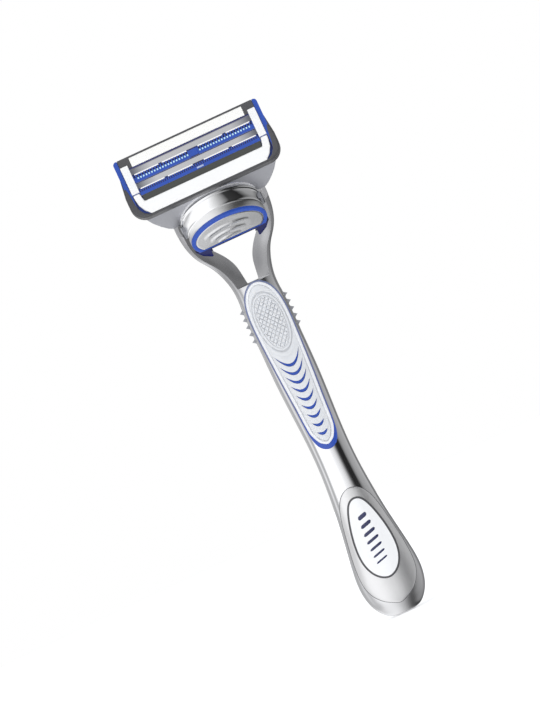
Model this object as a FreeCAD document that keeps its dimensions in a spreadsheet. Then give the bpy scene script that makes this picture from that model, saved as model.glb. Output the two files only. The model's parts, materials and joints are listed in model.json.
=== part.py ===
import FreeCAD, Part
import math
import os

import Sketcher

# Cartridge razor. Millimetres. The handle runs up +Z from its round end at the origin, the blades, the
# release button and the grip face -Y, and X is the width. Two tilted local frames carry the small pieces:
#   dock frame       x across, s up the dock's sliding axis, d out of the button's face
#   cartridge frame  x across, v up the blade face, w out of the blade face, origin on the pivot pins

doc = FreeCAD.newDocument("cartridge_razor")
V = FreeCAD.Vector

# ---------------------------------------------------------------- driving dimensions
sheet = doc.addObject("Spreadsheet::Sheet", "Dims")
CELLS = [
    # whole object
    ("overall_height", 137.8),
    ("lean_deg", 40.0),        # the dock's sliding axis leans this far forward of the handle
    ("tilt_deg", 11.0),        # the blade face leans this far back at rest
    ("dock_y", -9.95), ("dock_z", 112.2),
    ("pivot_s", 10.2), ("pivot_d", -5.9),
    # handle
    ("shaft_half_width", 5.2), ("bulb_half_width", 8.65), ("fork_half_width", 13.05),
    ("rim_width", 1.3), ("fork_floor_z", 94.6),
    ("grip_sink", 1.2), ("grip_rise", 0.75), ("overlay_sink", 0.2), ("overlay_rise", 1.25),
    ("overlay_inset", 0.55), ("crescent_pitch", 2.46), ("crescent_width", 0.75), ("crescent_first_z", 70.9),
    ("rib_pitch", 2.02), ("rib_rise", 1.0), ("rib_first_z", 80.2),
    ("plate_sink", 0.9), ("plate_rise", 0.25), ("badge_rise", 0.8), ("ring_rise", 0.45), ("ring_wall", 0.45),
    # boss and button
    ("boss_a", 10.65), ("boss_b", 5.9), ("boss_cut", 2.7), ("hood_back", -4.5), ("hood_front", 0.6),
    ("hood_wall", 1.2), ("hood_lip", 0.5), ("hood_lip_depth", 0.6),
    ("button_back", 0.9), ("cap_depth", 2.7), ("ring_depth", 0.9), ("trim_width", 1.15), ("button_travel", 3.0),
    ("plate_gap", 0.05), ("dome", 0.25),
    ("ejector_half", 4.4), ("finger_inner", 7.0), ("finger_outer", 9.5), ("finger_top", -2.7),
    # dock tongue and plunger
    ("tongue_half", 5.9), ("tongue_front", -5.8), ("tongue_back", -8.8), ("tongue_top", 7.7), ("tongue_foot", -7.0),
    ("bore_radius", 0.92), ("plunger_radius", 0.85), ("plunger_centre", -7.3), ("plunger_tip", 11.95),
    # yoke
    ("yoke_foot", 0.6), ("yoke_top", 8.8), ("yoke_front", -4.8), ("yoke_back", -9.9), ("yoke_half", 10.8),
    ("wing_thick", 2.2), ("wing_tip", 18.6), ("socket_half", 6.2), ("socket_front", -5.5), ("socket_back", -9.1),
    ("pin_radius", 0.8), ("pin_hole_radius", 0.86), ("tip_radius", 1.2), ("lug_inner", 15.2), ("lug_outer", 16.4),
    # cartridge
    ("frame_half", 20.4), ("frame_bottom", -2.9), ("frame_top", 13.2), ("back_plane", 1.6), ("floor_w", 2.6),
    ("end_inner", 19.2), ("rim_w", 5.7), ("beam_w", 4.6), ("comb_low", 2.4), ("comb_high", 3.95),
    ("bumper_half", 21.1), ("bumper_bottom", -3.55), ("bumper_top", 8.2), ("bumper_back", 1.9), ("bumper_w", 5.5),
    ("strip_w", 5.95), ("strip_low", -2.9), ("strip_high", 0.75),
    ("band_half", 16.7), ("band_w", 5.6),
    ("cap_half", 16.0), ("cap_low", 10.1), ("cap_high", 12.7), ("cap_w", 6.1), ("capframe_w", 5.9),
    ("blade_half", 18.9), ("blade_low", 4.25), ("blade_step", 3.95), ("float_travel", 0.3),
    ("guard_half", 18.9), ("guard_low", 5.95), ("guard_high", 8.0), ("guard_back", 4.9), ("guard_w", 5.7),
    ("clip_inner", 17.05), ("clip_outer", 19.1), ("clip_w", 6.25), ("clip_thick", 0.3), ("clip_low", 3.3),
    ("clip_high", 11.05),
]
for i, (alias, value) in enumerate(CELLS, start=1):
    sheet.set("A%d" % i, alias)
    sheet.set("B%d" % i, repr(value))
    sheet.setAlias("B%d" % i, alias)
doc.recompute()


def g(alias):
    return float(sheet.get(alias))


def ev(e):
    """A number, or the value of an expression on the sheet."""
    if isinstance(e, (int, float)):
        return float(e)
    v = sheet.evalExpression(e)
    return float(getattr(v, "Value", v))


D = "Dims."
LEAN = math.radians(g("lean_deg"))
TILT = math.radians(g("tilt_deg"))
S_DIR = V(0, -math.sin(LEAN), math.cos(LEAN))
D_DIR = V(0, -math.cos(LEAN), -math.sin(LEAN))
V_DIR = V(0, math.sin(TILT), math.cos(TILT))
W_DIR = V(0, -math.cos(TILT), math.sin(TILT))
DOCK_ORG = V(0, g("dock_y"), g("dock_z"))
PIVOT = DOCK_ORG + S_DIR * g("pivot_s") + D_DIR * g("pivot_d")
DOCK = FreeCAD.Placement(DOCK_ORG, FreeCAD.Rotation(V(1, 0, 0), S_DIR, D_DIR, "XYZ"))
CART = FreeCAD.Placement(PIVOT, FreeCAD.Rotation(V(1, 0, 0), V_DIR, W_DIR, "XYZ"))
NODES = []


# ---------------------------------------------------------------- sketching helpers
def origin_plane(body, role):
    return [f for f in body.Origin.OriginFeatures if f.Role == role][0]


def new_body(label, placement):
    body = doc.addObject("PartDesign::Body", label)
    body.Label = label
    body.Placement = placement
    NODES.append(body)
    return body


def new_sketch(body, name, role="XY_Plane", offset=0.0):
    sk = body.newObject("Sketcher::SketchObject", name)
    sk.AttachmentSupport = [(origin_plane(body, role), "")]
    sk.MapMode = "FlatFace"
    if isinstance(offset, str):
        sk.setExpression("AttachmentOffset.Base.z", offset)
    else:
        sk.AttachmentOffset = FreeCAD.Placement(V(0, 0, offset), FreeCAD.Rotation())
    return sk


def pin_down(sk, geo, pos, axis, expr):
    """Fixes one coordinate of a point, bound to the sheet where expr is an expression."""
    val = ev(expr)
    kind = "DistanceX" if axis == "x" else "DistanceY"
    if abs(val) < 1e-9:
        sk.addConstraint(Sketcher.Constraint("PointOnObject", geo, pos, -2 if axis == "x" else -1))
        return
    if val > 0:
        n = sk.addConstraint(Sketcher.Constraint(kind, -1, 1, geo, pos, val))
    else:
        n = sk.addConstraint(Sketcher.Constraint(kind, geo, pos, -1, 1, -val))
    if isinstance(expr, str):
        sk.setExpression("Constraints[%d]" % n, expr if val > 0 else "-(%s)" % expr)


def polygon(sk, points):
    base = sk.GeometryCount
    xy = [V(ev(x), ev(y), 0) for x, y in points]
    n = len(xy)
    for i in range(n):
        sk.addGeometry(Part.LineSegment(xy[i], xy[(i + 1) % n]), False)
    for i in range(n):
        sk.addConstraint(Sketcher.Constraint("Coincident", base + i, 2, base + (i + 1) % n, 1))
    for i, (x, y) in enumerate(points):
        pin_down(sk, base + i, 1, "x", x)
        pin_down(sk, base + i, 1, "y", y)


def rectangle(sk, x0, x1, y0, y1):
    polygon(sk, [(x0, y0), (x1, y0), (x1, y1), (x0, y1)])


def circle(sk, x, y, r):
    n = sk.addGeometry(Part.Circle(V(ev(x), ev(y), 0), V(0, 0, 1), ev(r)), False)
    pin_down(sk, n, 3, "x", x)
    pin_down(sk, n, 3, "y", y)
    c = sk.addConstraint(Sketcher.Constraint("Radius", n, ev(r)))
    if isinstance(r, str):
        sk.setExpression("Constraints[%d]" % c, r)


def cut_ellipse(sk, a, b, low):
    """An ellipse cut off flat at y = -low: one arc of ellipse and one line."""
    av, bv, lv = ev(a), ev(b), ev(low)
    t = math.asin(min(0.999, lv / bv))
    arc = Part.ArcOfEllipse(Part.Ellipse(V(0, 0, 0), av, bv), -t, math.pi + t)
    n = sk.addGeometry(arc, False)
    m = sk.addGeometry(Part.LineSegment(arc.EndPoint, arc.StartPoint), False)
    sk.addConstraint(Sketcher.Constraint("Coincident", n, 2, m, 1))
    sk.addConstraint(Sketcher.Constraint("Coincident", m, 2, n, 1))
    sk.addConstraint(Sketcher.Constraint("Horizontal", m))


def bind(obj, prop, e):
    if isinstance(e, str):
        obj.setExpression(prop, e)
    else:
        setattr(obj, prop, e)


def pad(body, sk, length, both=False, back=False):
    f = body.newObject("PartDesign::Pad", "Pad")
    f.Profile = sk
    bind(f, "Length", length)
    if both:
        try:
            f.SideType = "Symmetric"
        except Exception:
            f.Midplane = True
    f.Reversed = back
    doc.recompute()
    return f


def pocket(body, sk, length=None, back=False):
    before = body.Shape.Volume
    f = body.newObject("PartDesign::Pocket", "Pocket")
    f.Profile = sk
    if length is None:
        f.Type = "ThroughAll"
    else:
        bind(f, "Length", length)
    f.Reversed = back
    doc.recompute()
    if not body.Shape.Volume < before - 1e-6:
        raise RuntimeError("%s: pocket %s cuts nothing" % (body.Label, sk.Label))
    return f


def fillet(body, spots, radius, axis="z"):
    """Rounds the edges that run along one local axis and pass through the given spots."""
    tip = body.Tip
    names = []
    for i, e in enumerate(tip.Shape.Edges, start=1):
        if len(e.Vertexes) != 2:
            continue
        p, q = e.Vertexes[0].Point, e.Vertexes[1].Point
        d = q - p
        if axis == "z" and abs(d.x) + abs(d.y) < 1e-6:
            here = (p.x, p.y)
        elif axis == "x" and abs(d.y) + abs(d.z) < 1e-6:
            here = (p.y, p.z)
        else:
            continue
        if any(abs(here[0] - ev(a)) + abs(here[1] - ev(b)) < 2e-3 for a, b in spots):
            names.append("Edge%d" % i)
    if not names:
        raise RuntimeError("%s: no edge to round" % body.Label)
    f = body.newObject("PartDesign::Fillet", "Fillet")
    f.Base = (tip, names)
    bind(f, "Radius", radius)
    doc.recompute()
    return f


def feature(label, shape, placement=None):
    f = doc.addObject("Part::Feature", label)
    f.Label = label
    f.Shape = shape
    if placement is not None:
        f.Placement = placement.multiply(shape.Placement)
    NODES.append(f)
    return f


# ---------------------------------------------------------------- handle surfaces
# stations of the handle: y and z of the middle, lean of the section, half width, half depth, squareness
STATIONS = [
    (0.00, 0.00, 0, 2.60, 1.50, 2.0),
    (0.02, 0.35, 0, 3.85, 2.20, 2.1),
    (0.05, 1.00, 0, 5.00, 2.80, 2.2),
    (0.10, 2.00, 0, 6.00, 3.35, 2.2),
    (0.18, 3.50, 0, 7.05, 3.95, 2.3),
    (0.32, 6.10, 0, 8.10, 4.45, 2.3),
    (0.55, 10.5, 0, g("bulb_half_width"), 4.75, 2.3),
    (0.85, 15.0, 0, 8.30, 4.70, 2.3),
    (1.10, 19.1, 0, 7.70, 4.50, 2.3),
    (1.50, 26.8, 0, 6.55, 4.10, 2.3),
    (1.85, 34.6, 0, 5.70, 3.80, 2.3),
    (2.10, 42.4, 0, g("shaft_half_width"), 3.70, 2.3),
    (2.15, 52.8, 0, 5.30, 3.90, 2.3),
    (1.75, 65.7, 0, 5.90, 4.30, 2.4),
    (0.95, 78.7, 0, 6.00, 4.60, 2.5),
    (0.00, 89.0, 0, 5.85, 4.75, 2.6),
    (-0.60, 94.0, 1, 5.80, 4.80, 2.8),
    (-0.90, 97.0, 3, 6.35, 4.85, 3.0),
    (-1.15, 99.9, 6, 7.30, 4.85, 3.2),
    (-1.60, 102.8, 10, 8.75, 4.85, 3.4),
    (-2.25, 105.8, 15, 10.80, 4.85, 3.6),
    (-3.15, 109.15, 23, 12.20, 5.05, 3.8),
    (-4.70, 112.65, 33, 12.85, 5.2, 4.0),
]
LAST = DOCK_ORG + S_DIR * 0.3 + D_DIR * -4.5
STATIONS.append((LAST.y, LAST.z, g("lean_deg"), g("fork_half_width"), 5.3, 4.0))
PER_SECTION = 28


def section_point(st, x, depth):
    y, z, lean = st[0], st[1], math.radians(st[2])
    return V(x, y - depth * math.cos(lean), z - depth * math.sin(lean))


def super_ellipse(st, grow=0.0):
    hw, hd, n = st[3] + grow, st[4] + grow, st[5]
    pts = []
    for k in range(PER_SECTION):
        t = 2 * math.pi * k / PER_SECTION
        c, s = math.cos(t), math.sin(t)
        pts.append(section_point(st, hw * math.copysign(abs(c) ** (2 / n), c), hd * math.copysign(abs(s) ** (2 / n), s)))
    curve = Part.BSplineCurve()
    curve.interpolate(Points=pts, PeriodicFlag=True)
    return Part.Wire([curve.toShape()])


def shaft(first, last, grow=0.0):
    return Part.makeLoft([super_ellipse(st, grow) for st in STATIONS[first:last]], True, False)


def mirror_outline(half):
    """A closed outline, symmetric about x = 0, from (z, half width) rows that run from bottom to top."""
    right = [(hw, z) for z, hw in half]
    left = [(-hw, z) for z, hw in reversed(half) if hw > 1e-6]
    return right + left


def closed_curve(pts, y):
    curve = Part.BSplineCurve()
    curve.interpolate(Points=[V(x, y, z) for x, z in pts], PeriodicFlag=True)
    return curve


def inset(pts, amount):
    """The outline moved inward by a constant distance."""
    curve = closed_curve(pts, 0)
    n = 60
    out = []
    a, b = curve.FirstParameter, curve.LastParameter
    for k in range(n):
        u = a + (b - a) * k / n
        p = curve.value(u)
        t = curve.tangent(u)[0]
        nrm = V(-t.z, 0, t.x)
        if (nrm.x * p.x + nrm.z * (p.z - sum(q[1] for q in pts) / len(pts))) > 0:
            nrm = nrm * -1
        out.append((p.x + nrm.x * amount, p.z + nrm.z * amount))
    return out


def prism(pts, y0, y1):
    wire = Part.Wire([closed_curve(pts, y0).toShape()])
    return Part.Face(wire).extrude(V(0, y1 - y0, 0))


def box(x0, x1, y0, y1, z0, z1):
    return Part.makeBox(x1 - x0, y1 - y0, z1 - z0, V(x0, y0, z0))


def ring_loft(wires):
    return Part.makeLoft(wires, True, True)


GRIP = [(46.8, 0.0), (47.15, 1.3), (48.0, 2.35), (50.0, 3.3), (52.8, 3.8), (59.0, 4.2), (65.7, 4.65), (72.0, 5.0),
        (78.7, 5.3), (84.0, 5.42), (88.0, 5.15), (91.0, 4.4), (93.0, 3.25), (94.3, 1.75), (94.8, 0.0)]
PLATE = [(3.0, 0.0), (3.45, 1.5), (5.0, 4.2), (7.0, 6.0), (9.5, 7.1), (12.5, 7.45), (16.0, 7.3), (20.0, 6.8),
         (25.0, 6.0), (30.0, 4.95), (32.3, 4.1), (34.2, 2.75), (35.1, 1.4), (35.4, 0.0)]
BADGE = [(10.0, 0.0), (10.35, 1.5), (11.4, 3.0), (13.0, 4.2), (15.2, 5.05), (18.0, 5.4), (21.0, 5.25), (24.0, 4.8),
         (27.0, 4.1), (30.0, 3.1), (31.5, 2.3), (32.5, 1.2), (32.8, 0.0)]

grip_pts = mirror_outline(GRIP)
overlay_pts = inset(grip_pts, g("overlay_inset"))
overlay_pts = [(x, z + (0.75 * max(0.0, (52.0 - z) / 5.0))) for x, z in overlay_pts]
plate_pts = mirror_outline(PLATE)
ring_pts = mirror_outline(BADGE)
badge_pts = inset(ring_pts, g("ring_wall"))

G0, G1 = 10, 18      # stations that carry the grip
E0, E1 = 0, 12       # stations that carry the end plate
grip_prism = prism(grip_pts, -20, -0.5)
overlay_prism = prism(overlay_pts, -20, -0.5)
plate_prism = prism(plate_pts, -20, 0.0)
ring_prism = prism(ring_pts, -20, 0.0)
badge_prism = prism(badge_pts, -20, 0.0)

# the fork's opening: wide at the front, narrow at the back
# station index, half width at the front, half width at the back
FUNNEL = [(16, 4.5, 1.45), (17, 5.05, 1.85), (18, 6.0, 2.45), (19, 7.45, 4.1), (20, 9.5, 6.8), (21, 10.9, 9.6),
          (22, 11.5, 10.9), (23, 11.6, 11.0)]
funnel_wires = []
for k, xf, xb in FUNNEL:
    st = STATIONS[k]
    reach = st[4] + 2.5
    slope = (xf - xb) / (2 * st[4])
    f, b = xf + slope * 2.5, max(0.4, xb - slope * 2.5)
    if k == 16:
        st = (st[0], g("fork_floor_z")) + (0.0,) + st[3:]
    pts = [section_point(st, -f, reach), section_point(st, f, reach), section_point(st, b, -reach), section_point(st, -b, -reach)]
    funnel_wires.append(Part.makePolygon(pts + pts[:1]))
end = STATIONS[23]
far = (end[0] + S_DIR.y * 4, end[1] + S_DIR.z * 4) + end[2:]
pts = [section_point(far, x, d) for x, d in ((-11.6, 7.35), (11.6, 7.35), (11.0, -7.35), (-11.0, -7.35))]
funnel_wires.append(Part.makePolygon(pts + pts[:1]))
funnel = ring_loft(funnel_wires)

RIBS = [g("rib_first_z") + g("rib_pitch") * k for k in range(5)]


def station_at(z):
    for a, b in zip(STATIONS, STATIONS[1:]):
        if a[1] <= z <= b[1]:
            t = (z - a[1]) / (b[1] - a[1])
            return tuple(a[j] + (b[j] - a[j]) * t for j in range(6))
    raise RuntimeError("no station at %s" % z)


# rear grip: a thin pad round the back with five ribs that stand out at both sides
rear_zone = box(-12, 12, -0.2, 14, 78.6, 90.2)
pad_core = shaft(13, 18, -1.1)
rear = shaft(13, 18, 0.04).common(rear_zone)
for z in RIBS:
    lo, mid, hi = station_at(z - 0.62), station_at(z), station_at(z + 0.62)
    rear = rear.fuse(ring_loft([super_ellipse(lo, 0.0), super_ellipse(mid, g("rib_rise")), super_ellipse(hi, 0.0)]).common(rear_zone))
rear = rear.cut(pad_core)

outer = shaft(0, len(STATIONS))
frame = outer.cut(funnel)
frame = frame.cut(grip_prism.cut(shaft(G0, G1, -g("grip_sink"))))
frame = frame.cut(plate_prism.cut(shaft(E0, E1, -g("plate_sink"))))
frame = frame.cut(rear_zone.cut(pad_core))
lugs = Part.makeBox(22.9, 2.6, 2.4, V(-11.45, -1.3, -3.4))         # notches that take the hood's lugs
lugs.transformShape(DOCK.toMatrix())
frame = frame.cut(lugs)
feature("handle_frame", frame)
feature("rear_grip", rear)

# grip: blue base in the pocket, soft skin on it with nine crescent windows
base = grip_prism.common(shaft(G0, G1, g("grip_rise"))).cut(shaft(G0, G1, -g("grip_sink")))
base = base.cut(overlay_prism.cut(shaft(G0, G1, -g("overlay_sink"))))
feature("grip_base", base)
skin = overlay_prism.common(shaft(G0, G1, g("overlay_rise"))).cut(shaft(G0, G1, -g("overlay_sink")))
for k in range(9):
    zc = g("crescent_first_z") - g("crescent_pitch") * k
    hw = 3.55 - (3.55 - 1.45) * k / 8.0
    sag = 3.7 - (3.7 - 0.8) * (k / 8.0) ** 0.8
    th = g("crescent_width")
    lower = Part.Arc(V(-hw, -20, zc + sag), V(0, -20, zc - th / 2), V(hw, -20, zc + sag))
    upper = Part.Arc(V(hw, -20, zc + sag), V(0, -20, zc + th / 2), V(-hw, -20, zc + sag))
    skin = skin.cut(Part.Face(Part.Wire([lower.toShape(), upper.toShape()])).extrude(V(0, 20, 0)))
feature("grip_overlay", skin)

# bulb: satin plate, dark ring, white badge
seat = shaft(E0, E1, -g("plate_sink"))
feature("end_plate", plate_prism.common(shaft(E0, E1, g("plate_rise"))).cut(seat).cut(ring_prism))
feature("badge_ring", ring_prism.common(shaft(E0, E1, g("ring_rise"))).cut(seat).cut(badge_prism))
feature("badge", badge_prism.common(shaft(E0, E1, g("badge_rise"))).cut(seat))

# ---------------------------------------------------------------- head
# hood: polished oval band behind the button, open below, with a lip at its back and a lug to each fork arm
b = new_body("dock_hood", DOCK)
sk = new_sketch(b, "hood_outline", offset=D + "hood_back")
cut_ellipse(sk, D + "boss_a", D + "boss_b", D + "boss_cut")
pad(b, sk, "Dims.hood_front - Dims.hood_back")
sk = new_sketch(b, "hood_lip", offset=D + "hood_back")
cut_ellipse(sk, "Dims.boss_a + Dims.hood_lip", "Dims.boss_b + Dims.hood_lip", D + "boss_cut")
pad(b, sk, D + "hood_lip_depth")
sk = new_sketch(b, "hood_lugs", offset=-3.4)
rectangle(sk, -11.45, 11.45, -1.3, 1.3)
pad(b, sk, 2.4)
sk = new_sketch(b, "hood_hollow", offset=D + "hood_front")
av, bv = g("boss_a") - g("hood_wall"), g("boss_b") - g("hood_wall")
arc = Part.ArcOfEllipse(Part.Ellipse(V(0, 0, 0), av, bv), 0, math.pi)
n0 = sk.addGeometry(arc, False)
n1 = sk.addGeometry(Part.LineSegment(V(-av, 0, 0), V(-av + 0.3, -4, 0)), False)
n2 = sk.addGeometry(Part.LineSegment(V(-av + 0.3, -4, 0), V(av - 0.3, -4, 0)), False)
n3 = sk.addGeometry(Part.LineSegment(V(av - 0.3, -4, 0), V(av, 0, 0)), False)
for p, q in ((n0, n1), (n1, n2), (n2, n3), (n3, n0)):
    sk.addConstraint(Sketcher.Constraint("Coincident", p, 2, q, 1))
pocket(b, sk)

# button: satin cap, blue ring, silver face; the ejector rides with them
b = new_body("button_cap", DOCK)
sk = new_sketch(b, "cap_outline", offset=D + "button_back")
cut_ellipse(sk, D + "boss_a", D + "boss_b", D + "boss_cut")
pad(b, sk, D + "cap_depth")

b = new_body("button_ring", DOCK)
sk = new_sketch(b, "ring_outline", offset="Dims.button_back + Dims.cap_depth")
cut_ellipse(sk, "Dims.boss_a - 0.1", "Dims.boss_b - 0.1", D + "boss_cut")
pad(b, sk, D + "ring_depth")
sk = new_sketch(b, "ring_hole", offset="Dims.button_back + Dims.cap_depth + Dims.ring_depth")
av, bv = g("boss_a") - g("trim_width"), g("boss_b") - g("trim_width")
lv = 2.45
t = math.asin(lv / bv)
arc = Part.ArcOfEllipse(Part.Ellipse(V(0, 0, 0), av, bv), -t, math.pi + t)
n0 = sk.addGeometry(arc, False)
n1 = sk.addGeometry(Part.LineSegment(arc.EndPoint, arc.StartPoint), False)
sk.addConstraint(Sketcher.Constraint("Coincident", n0, 2, n1, 1))
sk.addConstraint(Sketcher.Constraint("Coincident", n1, 2, n0, 1))
pocket(b, sk)

b = new_body("button_plate", DOCK)
sk = new_sketch(b, "face_outline", offset="Dims.button_back + Dims.cap_depth")
cut_ellipse(sk, "Dims.boss_a - Dims.trim_width - Dims.plate_gap", "Dims.boss_b - Dims.trim_width - Dims.plate_gap", 2.4)
pad(b, sk, "Dims.ring_depth + 0.1")
for k, (half, lo, hi) in enumerate(((6.3, 1.75, 2.35), (4.8, -0.15, 0.45), (2.5, -1.75, -1.2))):
    sk = new_sketch(b, "ridge_%d" % (k + 1), offset="Dims.button_back + Dims.cap_depth + Dims.ring_depth + 0.1")
    rectangle(sk, -half, half, lo, hi)
    pad(b, sk, 0.35)

b = new_body("ejector", DOCK)
sk = new_sketch(b, "block", offset=-4.2)
rectangle(sk, "-Dims.ejector_half", D + "ejector_half", -2.4, 0.4)
pad(b, sk, "Dims.button_back + 4.2")
sk = new_sketch(b, "leg", offset=-4.2)
rectangle(sk, -4.0, 4.0, -5.6, -1.6)
pad(b, sk, 2.7)
sk = new_sketch(b, "link", offset=-5.6)
rectangle(sk, -4.0, 4.0, -5.6, D + "finger_top")
pad(b, sk, 1.5)
sk = new_sketch(b, "bar", offset=-5.6)
rectangle(sk, "-Dims.finger_outer", D + "finger_outer", -5.6, D + "finger_top")
pad(b, sk, 0.7)
for side in (-1, 1):
    sk = new_sketch(b, "finger_%s" % ("left" if side < 0 else "right"), offset=-8.5)
    if side > 0:
        rectangle(sk, D + "finger_inner", D + "finger_outer", -5.6, D + "finger_top")
    else:
        rectangle(sk, "-Dims.finger_outer", "-Dims.finger_inner", -5.6, D + "finger_top")
    pad(b, sk, 3.0)


def coil(radius, wire, low, high, turns, x, d):
    """A compression spring along the dock's sliding axis: a round wire swept along a smooth curve through points of the helix."""
    pitch = (high - low - 2 * wire) / turns
    steps = 16 * turns
    points = [V(radius * math.cos(2 * math.pi * turns * i / steps), radius * math.sin(2 * math.pi * turns * i / steps),
                pitch * turns * i / steps) for i in range(steps + 1)]
    curve = Part.BSplineCurve()
    curve.interpolate(points)
    start = V(radius, 0, 0)
    tangent = V(0, 2 * math.pi * radius, pitch)
    prof = Part.Wire([Part.makeCircle(wire, start, tangent)])
    solid = Part.Wire([curve.toShape()]).makePipeShell([prof], True, True)
    solid = Part.Solid(solid) if solid.ShapeType == "Shell" else solid
    solid.rotate(V(0, 0, 0), V(1, 0, 0), -90)
    solid.translate(V(x, low + wire, d))
    return solid


feature("ejector_spring", coil(1.11, 0.2, 0.45, 4.55, 5, 0.0, -1.8), DOCK)

# dock body: the arched web between the arms, the tongue and its blind bore
st_web = [V(-10.98, 0, 109.8), V(-10.6, 0, 107.9), V(-9.0, 0, 106.1), V(-6.9, 0, 105.0), V(-5.6, 0, 105.4), V(-6.2, 0, 106.9),
          V(6.2, 0, 106.9), V(5.6, 0, 105.4), V(6.9, 0, 105.0), V(9.0, 0, 106.1), V(10.6, 0, 107.9), V(10.98, 0, 109.8),
          V(10.98, 0, 122), V(-10.98, 0, 122)]
arch = Part.Face(Part.makePolygon([p + V(0, -30, 0) for p in st_web + st_web[:1]])).extrude(V(0, 60, 0))
web = Part.makeBox(21.96, 2.6, 8.1, V(-10.98, -8.9, -9.6))          # x, s, d
web = web.fuse(Part.makeBox(21.96, 8.0, 0.8, V(-10.98, -7.7, -9.6)))
cheeks = Part.makeBox(21.96, 5.6, 3.6, V(-10.98, -11.8, -3.6))
mid = Part.makeBox(13.0, 6.0, 8.0, V(-6.5, -12.0, -7.0))
web = web.fuse(cheeks.cut(mid))
tongue = Part.makeBox(2 * g("tongue_half"), g("tongue_top") - g("tongue_foot"), g("tongue_front") - g("tongue_back"),
                      V(-g("tongue_half"), g("tongue_foot"), g("tongue_back")))
bore = Part.makeCylinder(g("bore_radius"), 14.5, V(0, -6.0, g("plunger_centre")), V(0, 1, 0))
dock = web.fuse(tongue).removeSplitter().cut(bore)
arch_local = arch.copy()
arch_local.transformShape(DOCK.inverse().toMatrix())
dock = dock.common(arch_local)
fun = funnel.copy()
fun.transformShape(DOCK.inverse().toMatrix())
keep = dock.common(fun)
feature("dock_body", keep, DOCK)

# plunger and its spring, in the tongue's bore
pr = g("plunger_radius")
plunger = Part.makeCylinder(pr, g("plunger_tip") - 2.0, V(0, 2.0, g("plunger_centre")), V(0, 1, 0))
plunger = plunger.fuse(Part.makeSphere(pr, V(0, g("plunger_tip"), g("plunger_centre")))).removeSplitter()
feature("plunger", plunger, DOCK)
feature("plunger_spring", coil(0.62, 0.13, -5.95, 1.95, 9, 0.0, g("plunger_centre")), DOCK)

# yoke: socket block, two wings and the pivot pins
b = new_body("yoke", DOCK)
right = [(11.0, D + "yoke_foot"), (13.1, D + "yoke_foot"), (14.3, 1.4), (15.8, 3.0), (17.3, 5.0), (18.3, 6.9),
         (D + "wing_tip", 8.2), (D + "wing_tip", D + "pivot_s"), (16.8, D + "pivot_s"), (16.8, 8.1), (11.5, 8.1)]


def flip(row):
    return [("-(%s)" % x if isinstance(x, str) else -x, y) for x, y in reversed(row)]


sk = new_sketch(b, "wings", offset="Dims.yoke_front - Dims.wing_thick")
polygon(sk, right + flip(right))
pad(b, sk, D + "wing_thick")
sk = new_sketch(b, "block", offset=D + "yoke_back")
rectangle(sk, "-Dims.yoke_half", D + "yoke_half", D + "yoke_foot", D + "yoke_top")
pad(b, sk, "Dims.yoke_front - Dims.yoke_back")
sk = new_sketch(b, "socket", offset=D + "socket_front")
rectangle(sk, "-Dims.socket_half", D + "socket_half", -1.0, 8.0)
pocket(b, sk, "Dims.socket_front - Dims.socket_back")
sk = new_sketch(b, "plunger_way", offset="Dims.plunger_centre + 1.25")
rectangle(sk, -1.25, 1.25, 7.5, 9.5)
pocket(b, sk, 2.5)
for side in (1, -1):
    sk = new_sketch(b, "tip_%d" % side, "YZ_Plane", "Dims.lug_outer + 0.4" if side > 0 else "-Dims.wing_tip")
    circle(sk, D + "pivot_s", D + "pivot_d", D + "tip_radius")
    pad(b, sk, "Dims.wing_tip - Dims.lug_outer - 0.4")
    sk = new_sketch(b, "pin_%d" % side, "YZ_Plane", "Dims.lug_inner - 0.2" if side > 0 else "-(Dims.lug_outer + 0.4)")
    circle(sk, D + "pivot_s", D + "pivot_d", D + "pin_radius")
    pad(b, sk, "Dims.lug_outer - Dims.lug_inner + 0.6")

# ---------------------------------------------------------------- cartridge
b = new_body("housing", CART)
sk = new_sketch(b, "floor", offset=D + "back_plane")
rectangle(sk, "-Dims.frame_half", D + "frame_half", D + "frame_bottom", D + "frame_top")
pad(b, sk, "Dims.floor_w - Dims.back_plane")
sk = new_sketch(b, "ends", offset=D + "floor_w")
rectangle(sk, D + "end_inner", D + "frame_half", D + "frame_bottom", D + "frame_top")
rectangle(sk, "-Dims.frame_half", "-Dims.end_inner", D + "frame_bottom", D + "frame_top")
pad(b, sk, "Dims.rim_w - Dims.floor_w")
sk = new_sketch(b, "lower_beam", offset=D + "floor_w")
rectangle(sk, "-Dims.end_inner", D + "end_inner", D + "frame_bottom", D + "comb_high")
pad(b, sk, "Dims.beam_w - Dims.floor_w")
sk = new_sketch(b, "comb", offset=D + "beam_w")
polygon(sk, [(-16.95, D + "comb_low"), (16.95, D + "comb_low"), (16.95, 3.15), (D + "end_inner", 3.15), (D + "end_inner", D + "comb_high"),
             ("-Dims.end_inner", D + "comb_high"), ("-Dims.end_inner", 3.15), (-16.95, 3.15)])
pad(b, sk, "Dims.rim_w - Dims.beam_w")
sk = new_sketch(b, "upper_beam", offset=D + "floor_w")
rectangle(sk, "-Dims.end_inner", D + "end_inner", 10.0, D + "frame_top")
pad(b, sk, 1.9)
fillet(b, [("-Dims.frame_half", D + "frame_top"), (D + "frame_half", D + "frame_top")], 0.9)
fillet(b, [("-Dims.frame_half", D + "frame_bottom"), (D + "frame_half", D + "frame_bottom")], 3.2)
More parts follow.
